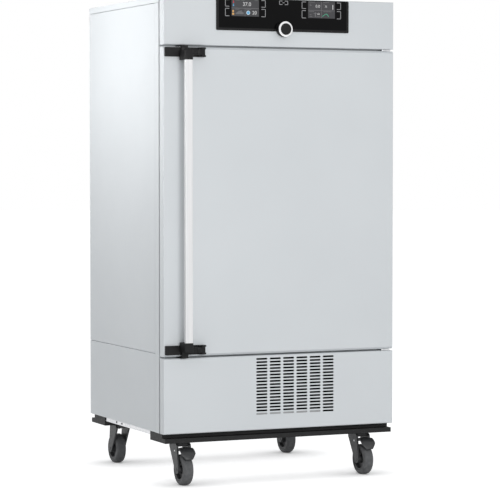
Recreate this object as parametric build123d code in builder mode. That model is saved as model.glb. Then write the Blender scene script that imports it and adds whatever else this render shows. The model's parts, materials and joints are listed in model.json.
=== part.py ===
from build123d import *
import math
import os

os.makedirs("parts", exist_ok=True)

# A floor-standing laboratory incubator with a compressor-cooled chamber, on four castors.
# Millimetres. X is width (the door hinges at +X), the front looks towards -Y, Z is up from the
# floor, and the origin lies on the floor under the middle of the whole outline.

# Outer sizes
case_width = 824.0
case_depth = 684.0
handle_reach = 56.0
castor_height = 142.0
beam_height = 30.0
lower_front_height = 243.0
front_gap = 6.0
door_height = 991.0
fascia_height = 156.0
front_thickness = 33.0
groove = 8.0
post_depth = 33.0
cover_height = 20.0
seam = 0.8
sheet = 2.0
bend_radius = 2.5
panel_flange = 15.0
lower_seam_rise = 12.0
play = 0.3
running_fit = 0.05

# Castors
wheel_radius = 50.0
wheel_width = 34.0
tyre_thickness = 13.0
tyre_round = 8.0
castor_x = 325.0
castor_trail = 37.0
front_castor_inset = 84.0
rear_castor_inset = 66.0
leg_thickness = 6.0
leg_gap = 2.0
fork_gap = 7.5
fork_bridge = 10.0
axle_radius = 5.0
rivet_stand = 1.0
stem_radius = 6.0

# Heights from the floor up
lower_front_bottom = castor_height + beam_height
lower_front_top = lower_front_bottom + lower_front_height
door_bottom = lower_front_top + front_gap
door_top = door_bottom + door_height
door_middle = (door_bottom + door_top) / 2
fascia_bottom = door_top + front_gap
case_top = fascia_bottom + fascia_height
side_top = case_top - cover_height - seam
lower_side_top = lower_front_top + lower_seam_rise

# Depths from the handle back
half_width = case_width / 2
rear_overhang = castor_trail + wheel_radius - rear_castor_inset
total_depth = handle_reach + case_depth + rear_overhang
front_face = handle_reach - total_depth / 2
rear_face = front_face + case_depth
door_back = front_face + front_thickness
frame_face = door_back + groove
post_back = frame_face + post_depth


def front_plane(y):
    """A sketch plane facing the front at depth y: its x is X and its y is Z."""
    return Plane.XZ.offset(-y)


def save(piece, name):
    """Name a finished piece and write it."""
    piece.part.label = name
    export_step(piece.part, f"parts/{name}.step")


def front_pan(bottom, top, bevel):
    """A folded front cover, open at the back, with bevelled top and bottom edges."""
    with BuildPart() as pan:
        with BuildSketch(front_plane(front_face)):
            with Locations((0, (bottom + top) / 2)):
                Rectangle(case_width, top - bottom)
        extrude(amount=-front_thickness)
        face = pan.faces().sort_by(Axis.Y)[0]
        chamfer(face.edges().filter_by(Axis.X), length=bevel)
        upright = pan.faces().sort_by(Axis.Y)[0].edges().filter_by(Axis.Z)
        fillet(upright, radius=bend_radius)
        offset(amount=-sheet, openings=pan.faces().sort_by(Axis.Y)[-1])
    return pan


# Base frame: two channel beams, each a trough that is open at the top, with a stepped front lip
beam_setback = 2.0
beam_depth = 131.0
beam_wall = 4.0
beam_inset = 5.0
beam_length = case_width - 2 * beam_inset
recess_depth = 28.0
lip_height = 15.0
beam_bottom = castor_height
beam_top = castor_height + beam_height
front_pivot_y = front_face + front_castor_inset
rear_pivot_y = rear_face - rear_castor_inset


def base_beam(face_y, inward, pivot_y):
    """A base beam whose lip is at face_y, reaching beam_depth inward (+1 or -1 along Y)."""
    step_y = face_y + inward * recess_depth
    inner_y = face_y + inward * beam_depth
    lip_top = beam_bottom + lip_height
    with BuildPart() as beam:
        with BuildSketch(Plane.YZ.offset(-beam_length / 2)):
            with BuildLine():
                Polyline(
                    (step_y, beam_top),
                    (inner_y, beam_top),
                    (inner_y, beam_bottom),
                    (face_y, beam_bottom),
                    (face_y, lip_top),
                    (step_y, lip_top),
                    close=True,
                )
            make_face()
        extrude(amount=beam_length)
        trough_from = step_y + inward * beam_wall
        trough_to = inner_y - inward * beam_wall
        with BuildSketch(Plane.XY.offset(beam_top)):
            with Locations((0, (trough_from + trough_to) / 2)):
                Rectangle(beam_length - 2 * beam_wall, abs(trough_to - trough_from))
        extrude(amount=beam_wall - beam_height, mode=Mode.SUBTRACT)
        lip_from = face_y + inward * beam_wall
        with BuildSketch(Plane.XY.offset(beam_bottom)):
            with Locations((0, (lip_from + step_y) / 2)):
                Rectangle(beam_length - 2 * beam_wall, abs(step_y - lip_from))
        extrude(amount=lip_height - beam_wall, mode=Mode.SUBTRACT)
        with BuildSketch(Plane.XY.offset(beam_bottom)):
            with Locations((-castor_x, pivot_y), (castor_x, pivot_y)):
                Circle(stem_radius + play)
        extrude(amount=beam_wall, mode=Mode.SUBTRACT)
    return beam


front_beam = base_beam(front_face + beam_setback, 1, front_pivot_y)
save(front_beam, "front_beam")

rear_beam = base_beam(rear_face, -1, rear_pivot_y)
save(rear_beam, "rear_beam")

# Base tray: a folded pan that hangs between the beams and laps over their top edges
tray_sheet = 3.0
tray_drop = 14.0
tray_inset = 8.0
tray_half = half_width - tray_inset
tray_lap_half = half_width - panel_flange - play
front_lap = 55.0
rear_lap = 20.0
front_beam_back = front_face + beam_setback + beam_depth
rear_beam_front = rear_face - beam_depth
tray_floor = beam_top - tray_drop + tray_sheet
tray_lap_top = beam_top + tray_sheet
tray_front = front_beam_back + play
tray_rear = rear_beam_front - play

with BuildPart() as base_tray:
    with BuildSketch(Plane.XY.offset(beam_top - tray_drop)):
        with Locations((0, (tray_front + tray_rear) / 2)):
            Rectangle(2 * tray_half, tray_rear - tray_front)
    extrude(amount=tray_drop)
    with BuildSketch(Plane.XY.offset(tray_floor)):
        with Locations((0, (tray_front + tray_rear) / 2)):
            Rectangle(2 * (tray_half - tray_sheet), tray_rear - tray_front - 2 * tray_sheet)
    extrude(amount=tray_drop, mode=Mode.SUBTRACT)
    for lap_from, lap_to in (
        (front_beam_back - front_lap, tray_front + tray_sheet),
        (tray_rear - tray_sheet, rear_beam_front + rear_lap),
    ):
        with BuildSketch(Plane.XY.offset(beam_top)):
            with Locations((0, (lap_from + lap_to) / 2)):
                Rectangle(2 * tray_lap_half, lap_to - lap_from)
        extrude(amount=tray_sheet)
save(base_tray, "base_tray")

# Castor stems: each is bolted through a beam's floor and carries a fork between two collars
fork_top = castor_height - fork_gap
bridge_bottom = fork_top - fork_bridge
collar_radius = 16.0
stem_head_radius = 9.0
stem_head_height = 3.0
nut_radius = 10.0
nut_height = 8.0
thread_end = 3.0
castor_spots = [
    (-castor_x, front_pivot_y),
    (castor_x, front_pivot_y),
    (-castor_x, rear_pivot_y),
    (castor_x, rear_pivot_y),
]
up = (Align.CENTER, Align.CENTER, Align.MIN)

with BuildPart() as castor_stems:
    with Locations(*[(x, y, bridge_bottom - play - stem_head_height) for x, y in castor_spots]):
        Cylinder(stem_head_radius, stem_head_height, align=up)
    with Locations(*[(x, y, bridge_bottom - play) for x, y in castor_spots]):
        Cylinder(stem_radius, beam_bottom + beam_wall + nut_height + thread_end - bridge_bottom + play, align=up)
    with Locations(*[(x, y, fork_top + play) for x, y in castor_spots]):
        Cylinder(collar_radius, beam_bottom - fork_top - play, align=up)
    with Locations(*[(x, y, beam_bottom + beam_wall) for x, y in castor_spots]):
        Cylinder(nut_radius, nut_height, align=up)
save(castor_stems, "castor_stems")

# Castor forks, wheels, tyres and brake pedals
leg_inner = wheel_width / 2 + leg_gap
leg_outer = leg_inner + leg_thickness
eye_radius = 13.0
crown_radius = 10.0
crown_back = 14.0
crown_front = 30.0
pedal_clear = 10.0
pedal_inner = wheel_radius + pedal_clear
pedal_thickness = 6.0
pedal_pin_radius = 3.0
pedal_rear_angle = 105.0
pedal_wide_angle = 68.0
pedal_tip_angle = 33.0
pedal_middle = pedal_inner + pedal_thickness / 2
hub_radius = 12.0
web_half = 5.0
rim_radius = wheel_radius - tyre_thickness
rim_thickness = 6.0
rim_inset = 1.0
hub_fillet = 2.0
rim_inner = rim_radius - rim_thickness


def pedal_point(axle_y, heading, angle, radius):
    """A point (Y, Z) on an arc about the axle, angle measured up from the way the castor trails."""
    turn = math.radians(angle)
    return (axle_y + heading * radius * math.cos(turn), wheel_radius + radius * math.sin(turn))


def castor_fork(x, pivot_y, heading, braked):
    """A moulded fork with its riveted axle; heading is the way it trails along Y."""
    axle_y = pivot_y + heading * castor_trail
    crown_z = fork_top - crown_radius
    with BuildPart() as fork:
        for side in (-1, 1):
            with BuildSketch(Plane.YZ.offset(x + side * leg_inner)):
                with Locations((axle_y, wheel_radius)):
                    Circle(eye_radius)
                with Locations((pivot_y - heading * crown_back, crown_z)):
                    Circle(crown_radius)
                with Locations((pivot_y + heading * crown_front, crown_z)):
                    Circle(crown_radius)
                make_hull()
            extrude(amount=side * leg_thickness)
        bridge_from = pivot_y - heading * crown_back
        bridge_to = pivot_y + heading * crown_front
        with BuildSketch(Plane.XY.offset(bridge_bottom)):
            with Locations((x, (bridge_from + bridge_to) / 2)):
                Rectangle(2 * leg_outer, abs(bridge_to - bridge_from))
        extrude(amount=fork_bridge)
        with BuildSketch(Plane.XY.offset(fork_top)):
            with Locations((x, pivot_y)):
                Circle(stem_radius + running_fit)
        extrude(amount=-fork_bridge, mode=Mode.SUBTRACT)
        with BuildSketch(Plane.YZ.offset(x - leg_outer - rivet_stand)):
            with Locations((axle_y, wheel_radius)):
                Circle(axle_radius)
        extrude(amount=2 * (leg_outer + rivet_stand))
        if braked:
            with BuildSketch(Plane.YZ.offset(x - leg_outer)):
                with Locations(pedal_point(axle_y, heading, pedal_rear_angle, pedal_middle)):
                    Circle(pedal_pin_radius + running_fit)
            extrude(amount=2 * leg_outer, mode=Mode.SUBTRACT)
    return fork


def castor_wheel(x, axle_y):
    """A moulded wheel body with hub, web and rim, turned about its axle."""
    hub_half = leg_inner - play
    rim_half = wheel_width / 2 - rim_inset
    centre = Plane(origin=(x, axle_y, wheel_radius), x_dir=(1, 0, 0), z_dir=(0, 0, 1))
    bore = axle_radius + running_fit
    with BuildPart() as wheel:
        with BuildSketch(centre):
            with BuildLine():
                Polyline(
                    (-hub_half, bore),
                    (hub_half, bore),
                    (hub_half, hub_radius),
                    (web_half, hub_radius + hub_fillet),
                    (web_half, rim_inner - hub_fillet),
                    (rim_half, rim_inner),
                    (rim_half, rim_radius),
                    (-rim_half, rim_radius),
                    (-rim_half, rim_inner),
                    (-web_half, rim_inner - hub_fillet),
                    (-web_half, hub_radius + hub_fillet),
                    (-hub_half, hub_radius),
                    close=True,
                )
            make_face()
        revolve(axis=Axis((x, axle_y, wheel_radius), (1, 0, 0)))
    return wheel


def castor_tyre(x, axle_y):
    """A grey rubber tyre with rounded shoulders."""
    centre = Plane(origin=(x, axle_y, wheel_radius), x_dir=(1, 0, 0), z_dir=(0, 0, 1))
    with BuildPart() as tyre:
        with BuildSketch(centre) as section:
            with Locations((0, (rim_radius + wheel_radius) / 2)):
                Rectangle(wheel_width, tyre_thickness)
            fillet(section.vertices().group_by(Axis.Y)[-1], radius=tyre_round)
        revolve(axis=Axis((x, axle_y, wheel_radius), (1, 0, 0)))
    return tyre


def brake_pedal(x, axle_y, heading):
    """A curved toe pedal over the wheel, narrow between the fork legs and wide at its tip."""
    with BuildPart() as pedal:
        bands = ((pedal_rear_angle, leg_inner - play), (pedal_wide_angle, leg_outer))
        for from_angle, half in bands:
            inner_start = pedal_point(axle_y, heading, from_angle, pedal_inner)
            inner_middle = pedal_point(axle_y, heading, (from_angle + pedal_tip_angle) / 2, pedal_inner)
            inner_end = pedal_point(axle_y, heading, pedal_tip_angle, pedal_inner)
            outer_radius = pedal_inner + pedal_thickness
            outer_start = pedal_point(axle_y, heading, from_angle, outer_radius)
            outer_middle = pedal_point(axle_y, heading, (from_angle + pedal_tip_angle) / 2, outer_radius)
            outer_end = pedal_point(axle_y, heading, pedal_tip_angle, outer_radius)
            with BuildSketch(Plane.YZ.offset(x - half)):
                with BuildLine():
                    ThreePointArc(inner_start, inner_middle, inner_end)
                    Line(inner_end, outer_end)
                    ThreePointArc(outer_end, outer_middle, outer_start)
                    Line(outer_start, inner_start)
                make_face()
            extrude(amount=2 * half)
        pin_point = pedal_point(axle_y, heading, pedal_rear_angle, pedal_middle)
        with BuildSketch(Plane.YZ.offset(x - leg_outer)):
            with Locations(pin_point):
                Circle(pedal_pin_radius)
        extrude(amount=2 * leg_outer)
    return pedal


castors = [
    ("front_left", -castor_x, front_pivot_y, -1),
    ("front_right", castor_x, front_pivot_y, -1),
    ("rear_left", -castor_x, rear_pivot_y, 1),
    ("rear_right", castor_x, rear_pivot_y, 1),
]
for corner, x, pivot_y, heading in castors:
    axle_y = pivot_y + heading * castor_trail
    braked = heading < 0
    save(castor_fork(x, pivot_y, heading, braked), f"{corner}_castor_fork")
    save(castor_wheel(x, axle_y), f"{corner}_castor_wheel")
    save(castor_tyre(x, axle_y), f"{corner}_castor_tyre")
    if braked:
        save(brake_pedal(x, axle_y, heading), f"{corner}_brake_pedal")

# Side panels: folded pans, the upper ones beside the chamber and the lower ones round the machine bay
side_from = post_back + seam
frame_height = side_top - lower_front_bottom


def side_panel(side, bottom, top):
    """A folded side panel on the left (-1) or right (+1)."""
    with BuildPart() as panel:
        with BuildSketch(Plane.YZ.offset(side * half_width)):
            with Locations(((side_from + rear_face) / 2, (bottom + top) / 2)):
                Rectangle(rear_face - side_from, top - bottom)
        extrude(amount=-side * panel_flange)
        outer = panel.faces().sort_by(Axis.X)[0 if side < 0 else -1]
        fillet(outer.edges(), radius=bend_radius)
        offset(amount=-sheet, openings=panel.faces().sort_by(Axis.X)[-1 if side < 0 else 0])
    return panel


for side, hand in ((-1, "left"), (1, "right")):
    save(side_panel(side, lower_front_bottom, lower_side_top), f"lower_{hand}_panel")
    save(side_panel(side, lower_side_top + seam, side_top), f"upper_{hand}_panel")

# Top cover: a shallow pan that closes the case from above
with BuildPart() as top_cover:
    with BuildSketch(Plane.XY.offset(case_top)):
        with Locations((0, (frame_face + rear_face) / 2)):
            Rectangle(case_width, rear_face - frame_face)
    extrude(amount=-cover_height)
    fillet(top_cover.faces().sort_by(Axis.Z)[-1].edges(), radius=bend_radius)
    offset(amount=-sheet, openings=top_cover.faces().sort_by(Axis.Z)[0])
save(top_cover, "top_cover")

# Rear panel: between the side panels' flanges, with warm-air slots low down and the mains cut-outs
rear_panel_half = half_width - panel_flange
vent_columns = 8
vent_rows = 9
vent_pitch_x = 52.0
vent_pitch_z = 18.0
vent_length = 42.0
vent_height = 7.0
vent_z = (lower_front_bottom + lower_front_top) / 2
module_x = -290.0
module_drop = 60.0
module_z = side_top - module_drop
module_width = 58.0
module_height = 25.0

with BuildPart() as rear_panel:
    with BuildSketch(front_plane(rear_face)):
        with Locations((0, (lower_front_bottom + side_top) / 2)):
            Rectangle(2 * rear_panel_half, side_top - lower_front_bottom)
    extrude(amount=panel_flange)
    offset(amount=-sheet, openings=rear_panel.faces().sort_by(Axis.Y)[0])
    with BuildSketch(front_plane(rear_face)):
        with Locations((0, vent_z)):
            with GridLocations(vent_pitch_x, vent_pitch_z, vent_columns, vent_rows):
                Rectangle(vent_length, vent_height)
        with Locations((module_x, module_z)):
            Rectangle(module_width + 2 * play, module_height + 2 * play)
    extrude(amount=sheet, mode=Mode.SUBTRACT)
save(rear_panel, "rear_panel")

# Chamber sizes, wanted by the front frame
chamber_width = 640.0
chamber_height = 800.0
chamber_depth = 540.0
chamber_bottom = door_bottom + (door_height - chamber_height) / 2
chamber_top = chamber_bottom + chamber_height
chamber_middle = (chamber_bottom + chamber_top) / 2
recess_margin = 27.0
frame_recess = 28.0
tub_face = frame_face + frame_recess
tub_back = tub_face + chamber_depth
window_width = chamber_width + 2 * recess_margin
window_height = chamber_height + 2 * recess_margin

# Front frame: one folded ring of sheet round the recess of the glass door, with bays above and below,
# and four posts that carry the control fascia and the lower front cover
bay_edge = 40.0
bay_sill = 20.0
bay_head = 15.0
lower_bay_bottom = lower_front_bottom + bay_sill
lower_bay_top = lower_front_top - bay_head
upper_bay_bottom = fascia_bottom + bay_sill
upper_bay_top = side_top - bay_head
cover_post_width = 16.0
cover_post_height = 36.0
post_x = half_width - bay_edge / 2

with BuildPart() as front_frame:
    with BuildSketch(front_plane(frame_face)):
        with Locations((0, (lower_front_bottom + side_top) / 2)):
            Rectangle(case_width, frame_height)
        with Locations((0, chamber_middle)):
            Rectangle(window_width, window_height, mode=Mode.SUBTRACT)
        with Locations((0, (lower_bay_bottom + lower_bay_top) / 2)):
            Rectangle(case_width - 2 * bay_edge, lower_bay_top - lower_bay_bottom, mode=Mode.SUBTRACT)
        with Locations((0, (upper_bay_bottom + upper_bay_top) / 2)):
            Rectangle(case_width - 2 * bay_edge, upper_bay_top - upper_bay_bottom, mode=Mode.SUBTRACT)
    extrude(amount=-sheet)
    with BuildSketch(front_plane(frame_face)):
        with Locations((0, (lower_front_bottom + side_top) / 2)):
            Rectangle(case_width, frame_height)
            Rectangle(case_width - 2 * sheet, frame_height - 2 * sheet, mode=Mode.SUBTRACT)
    extrude(amount=-post_depth)
    with BuildSketch(front_plane(frame_face)):
        with Locations((0, chamber_middle)):
            Rectangle(window_width + 2 * sheet, window_height + 2 * sheet)
            Rectangle(window_width, window_height, mode=Mode.SUBTRACT)
    extrude(amount=-frame_recess)
    with BuildSketch(front_plane(frame_face)):
        for post_z in ((fascia_bottom + case_top) / 2, (lower_front_bottom + lower_front_top) / 2):
            with Locations((-post_x, post_z), (post_x, post_z)):
                Rectangle(cover_post_width, cover_post_height)
    extrude(amount=groove + front_thickness - sheet - play)
save(front_frame, "front_frame")

# Lower front cover with its slotted grille
slot_columns = 6
slot_rows = 18
slot_pitch_x = 48.1
slot_pitch_z = 10.55
slot_length = 40.0
slot_height = 6.0
grille_x = 52.3
grille_drop = 101.0
grille_z = lower_front_top - grille_drop
cover_bevel = 2.5

with BuildPart() as lower_front_cover:
    add(front_pan(lower_front_bottom, lower_front_top, cover_bevel).part)
    with BuildSketch(front_plane(front_face)):
        with Locations((grille_x, grille_z)):
            with GridLocations(slot_pitch_x, slot_pitch_z, slot_columns, slot_rows):
                SlotOverall(slot_length, slot_height)
    extrude(amount=-sheet, mode=Mode.SUBTRACT)
save(lower_front_cover, "lower_front_cover")

# Control fascia with a cut-out for the display panel
panel_width = 474.0
panel_height = 104.0
panel_x = 7.0
panel_rise = 50.0
panel_bottom = fascia_bottom + panel_rise
panel_z = panel_bottom + panel_height / 2
panel_proud = 4.0
panel_collar = 8.0
panel_rim = 5.0
panel_corner = 4.0
panel_bevel = 1.0

with BuildPart() as control_fascia:
    add(front_pan(fascia_bottom, case_top, cover_bevel).part)
    with BuildSketch(front_plane(front_face)):
        with Locations((panel_x, panel_z)):
            Rectangle(panel_width - 2 * panel_rim, panel_height - 2 * panel_rim)
    extrude(amount=-sheet, mode=Mode.SUBTRACT)
save(control_fascia, "control_fascia")

# Display panel: a black moulded bezel with the knob's boss, and its glass
knob_x = 6.0
knob_rise = 7.0
knob_z = panel_bottom + knob_rise
boss_radius = 23.5
boss_depth = 12.0
neck_radius = 17.0
neck_depth = 20.0
guide_radius = 4.0
glass_margin = 8.0
glass_thickness = 2.0
glass_inset = 0.2
glass_corner = 3.0
knob_clear = 26.0

with BuildPart() as display_bezel:
    with BuildSketch(front_plane(front_face)):
        with Locations((panel_x, panel_z)):
            RectangleRounded(panel_width, panel_height, panel_corner)
    extrude(amount=panel_proud)
    chamfer(display_bezel.faces().sort_by(Axis.Y)[0].edges(), length=panel_bevel)
    with BuildSketch(front_plane(front_face)):
        with Locations((panel_x, panel_z)):
            Rectangle(panel_width - 2 * panel_rim - 2 * play, panel_height - 2 * panel_rim - 2 * play)
            Rectangle(panel_width - 4 * panel_rim, panel_height - 4 * panel_rim, mode=Mode.SUBTRACT)
    extrude(amount=-panel_collar)
    with BuildSketch(front_plane(front_face - panel_proud)):
        with Locations((panel_x, panel_z)):
            RectangleRounded(panel_width - 2 * glass_margin, panel_height - 2 * glass_margin, glass_corner)
        with Locations((knob_x, knob_z)):
            Circle(knob_clear, mode=Mode.SUBTRACT)
    extrude(amount=-(glass_thickness + glass_inset), mode=Mode.SUBTRACT)
    with BuildSketch(front_plane(front_face)):
        with Locations((knob_x, knob_z)):
            Circle(boss_radius)
    extrude(amount=boss_depth)
    with BuildSketch(front_plane(front_face - boss_depth)):
        with Locations((knob_x, knob_z)):
            Circle(neck_radius)
    extrude(amount=neck_depth - boss_depth)
    with BuildSketch(front_plane(front_face - neck_depth)):
        with Locations((knob_x, knob_z)):
            Circle(guide_radius + running_fit)
    extrude(amount=-neck_depth + panel_proud, mode=Mode.SUBTRACT)
save(display_bezel, "display_bezel")

with BuildPart() as display_glass:
    with BuildSketch(front_plane(front_face - panel_proud + glass_inset + glass_thickness)):
        with Locations((panel_x, panel_z)):
            glass_width = panel_width - 2 * glass_margin - 2 * play
            glass_height = panel_height - 2 * glass_margin - 2 * play
            RectangleRounded(glass_width, glass_height, glass_corner)
        with Locations((knob_x, knob_z)):
            Circle(knob_clear + play, mode=Mode.SUBTRACT)
    extrude(amount=glass_thickness)
save(display_glass, "display_glass")

# Control knob: a bright ring that turns on the neck, round a black cap that presses in
ring_radius = 25.0
ring_front = 26.0
ring_bevel = 1.5
cap_radius = 19.0
cap_front = 25.0
cap_travel = 1.5
cap_round = 1.2
cap_guide_depth = 12.0
ring_back_y = front_face - boss_depth - play
neck_end_y = front_face - neck_depth
cap_back_y = neck_end_y - play - cap_travel

with BuildPart() as knob_ring:
    with BuildSketch(front_plane(ring_back_y)):
        with Locations((knob_x, knob_z)):
            Circle(ring_radius)
    extrude(amount=ring_front - boss_depth - play)
    chamfer(knob_ring.faces().sort_by(Axis.Y)[0].edges(), length=ring_bevel)
    with BuildSketch(front_plane(ring_back_y)):
        with Locations((knob_x, knob_z)):
            Circle(neck_radius + running_fit)
    extrude(amount=ring_front, mode=Mode.SUBTRACT)
    with BuildSketch(front_plane(neck_end_y)):
        with Locations((knob_x, knob_z)):
            Circle(cap_radius + running_fit)
    extrude(amount=ring_front, mode=Mode.SUBTRACT)
save(knob_ring, "knob_ring")

with BuildPart() as knob_cap:
    with BuildSketch(front_plane(cap_back_y)):
        with Locations((knob_x, knob_z)):
            Circle(cap_radius - play)
    extrude(amount=cap_front - neck_depth - play - cap_travel)
    fillet(knob_cap.faces().sort_by(Axis.Y)[0].edges(), radius=cap_round)
    with BuildSketch(front_plane(cap_back_y)):
        with Locations((knob_x, knob_z)):
            Circle(guide_radius)
    extrude(amount=-cap_guide_depth)
save(knob_cap, "knob_cap")

# Control box: the electronics housing that stands behind the fascia on the insulation
insulation_gap = 4.0
control_box_width = 420.0
control_box_depth = 180.0
control_box_height = 100.0
control_box_setback = 40.0
control_box_corner = 4.0
insulation_top = fascia_bottom - insulation_gap
control_box_y = frame_face + sheet + control_box_setback

with BuildPart() as control_box:
    with BuildSketch(Plane.XY.offset(insulation_top)):
        with Locations((panel_x, control_box_y + control_box_depth / 2)):
            RectangleRounded(control_box_width, control_box_depth, control_box_corner)
    extrude(amount=control_box_height)
    offset(amount=-sheet, openings=control_box.faces().sort_by(Axis.Z)[-1])
save(control_box, "control_box")

# Outer door: folded skin, foam, pressed inner liner with a raised plug, and a gasket
door_bevel = 7.0
hinge_inset = 15.0
hinge_x = half_width - hinge_inset
hinge_y = front_face + front_thickness / 2
hinge_pin_radius = 4.0
hinge_pin_clear = 1.0
hinge_block_width = 27.0
hinge_block_height = 40.0
liner_rise = 8.0
liner_taper = 30.0
gasket_width = 14.0
gasket_lap = 20.0
gasket_half_width = window_width / 2 + gasket_lap
gasket_half_height = window_height / 2 + gasket_lap

with BuildPart() as door_skin:
    add(front_pan(door_bottom, door_top, door_bevel).part)
    with BuildSketch(Plane.XY.offset(door_bottom)):
        with Locations((hinge_x, hinge_y)):
            Circle(hinge_pin_radius + hinge_pin_clear)
    extrude(amount=door_height, mode=Mode.SUBTRACT)
save(door_skin, "door_skin")

with BuildPart() as door_liner:
    with BuildSketch(front_plane(door_back)):
        with Locations((0, door_middle)):
            Rectangle(case_width - 2 * sheet, door_height - 2 * sheet)
    extrude(amount=sheet)
    with BuildSketch(front_plane(door_back)):
        with Locations((0, chamber_middle)):
            Rectangle(chamber_width, chamber_height)
    extrude(amount=-liner_rise, taper=liner_taper)
    with BuildSketch(front_plane(door_back - sheet)):
        with Locations((0, chamber_middle)):
            Rectangle(chamber_width - 2 * sheet, chamber_height - 2 * sheet)
    extrude(amount=-liner_rise, taper=liner_taper, mode=Mode.SUBTRACT)
save(door_liner, "door_liner")

foam_right = hinge_x - hinge_block_width / 2 - play
foam_left = -half_width + bend_radius + play
with BuildPart() as door_insulation:
    with BuildSketch(front_plane(door_back - sheet)):
        with Locations(((foam_left + foam_right) / 2, door_middle)):
            Rectangle(foam_right - foam_left, door_height - 2 * (door_bevel + sheet))
    extrude(amount=front_thickness - 2 * sheet)
save(door_insulation, "door_insulation")

with BuildPart() as door_gasket:
    with BuildSketch(front_plane(door_back)):
        with Locations((0, chamber_middle)):
            Rectangle(2 * gasket_half_width, 2 * gasket_half_height)
            inner_width = 2 * (gasket_half_width - gasket_width)
            inner_height = 2 * (gasket_half_height - gasket_width)
            Rectangle(inner_width, inner_height, mode=Mode.SUBTRACT)
    extrude(amount=-(groove - play))
save(door_gasket, "door_gasket")

# Door hinges: pinned plates on the case, in the gaps over and under the door, and bushes in the door
plate_thickness = 4.0
plate_width = 32.0
plate_upstand = 34.0
plate_nose = 9.0
plate_corner = 3.0
pin_engagement = 24.0
ends = ((1, door_top, fascia_bottom), (-1, door_bottom, lower_front_top))

with BuildPart() as case_hinges:
    for end, door_edge, far_edge in ends:
        middle = (door_edge + far_edge) / 2
        near = middle - end * plate_thickness / 2
        plate_front = hinge_y - plate_nose
        with BuildSketch(Plane.XY.offset(near)):
            with Locations((hinge_x - plate_width / 4, (plate_front + frame_face) / 2)):
                RectangleRounded(plate_width, frame_face - plate_front, plate_corner)
        extrude(amount=end * plate_thickness)
        with BuildSketch(Plane.XY.offset(near)):
            with Locations((hinge_x - plate_width / 4, frame_face - plate_thickness / 2)):
                Rectangle(plate_width, plate_thickness)
        extrude(amount=end * plate_upstand)
        with BuildSketch(Plane.XY.offset(near)):
            with Locations((hinge_x, hinge_y)):
                Circle(hinge_pin_radius)
        extrude(amount=-end * pin_engagement)
save(case_hinges, "case_hinges")

with BuildPart() as door_hinge_blocks:
    for end, door_edge, far_edge in ends:
        with BuildSketch(Plane.XY.offset(door_edge - end * sheet)):
            with Locations((hinge_x, hinge_y)):
                Rectangle(hinge_block_width - 2 * bend_radius, front_thickness - 2 * sheet - 2 * door_bevel)
                Circle(hinge_pin_radius + running_fit, mode=Mode.SUBTRACT)
        extrude(amount=-end * hinge_block_height)
save(door_hinge_blocks, "door_hinge_blocks")

# Door handle: brackets on the door's corners, levers pinned in them, and the grip bar between
bracket_left = -half_width + 3.0
bracket_width = 138.0
bracket_height = 30.0
bracket_thickness = 8.0
bracket_corner = 3.0
ear_width = 24.0
bracket_right = bracket_left + bracket_width
lever_inset = 13.0
lever_standoff = 17.0
lever_pivot_x = bracket_right - lever_inset
lever_pivot_y = front_face - lever_standoff
lever_eye = 8.0
lever_height = 18.0
ear_height = (bracket_height - lever_height) / 2 - play
lever_pin_radius = 3.0
bar_width = 25.0
bar_depth = 14.0
bar_x = -346.0
arm_width = 29.0
arm_height = 30.0
arm_shift = 11.0
arm_round = 5.0
riser_depth = 8.0
bar_round = 2.0
tongue_thickness = 3.0
tongue_inset = 2.0
tongue_width = 22.0
tongue_clear = 3.0
tongue_right = bar_x + arm_width / 2 - tongue_inset
tongue_reach = frame_face - tongue_clear
top_inset = 2.0
bottom_inset = 6.0
handle_ends = (
    (1, door_top - top_inset - bracket_height / 2, (door_top + fascia_bottom) / 2),
    (-1, door_bottom + bottom_inset + bracket_height / 2, (door_bottom + lower_front_top) / 2),
)

with BuildPart() as handle_brackets:
    for end, middle, gap_z in handle_ends:
        with BuildSketch(front_plane(front_face)):
            with Locations(((bracket_left + bracket_right) / 2, middle)):
                RectangleRounded(bracket_width, bracket_height, bracket_corner)
        extrude(amount=bracket_thickness)
        for ear in (-1, 1):
            ear_z = middle + ear * (lever_height / 2 + play + ear_height / 2)
            with BuildSketch(Plane.XY.offset(ear_z - ear_height / 2)):
                with Locations((lever_pivot_x, (lever_pivot_y + front_face) / 2)):
                    Rectangle(ear_width, front_face - lever_pivot_y)
                with Locations((lever_pivot_x, lever_pivot_y)):
                    Circle(lever_eye)
            extrude(amount=ear_height)
        with BuildSketch(Plane.XY.offset(middle - bracket_height / 2)):
            with Locations((lever_pivot_x, lever_pivot_y)):
                Circle(lever_pin_radius)
        extrude(amount=bracket_height)
save(handle_brackets, "handle_brackets")

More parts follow.
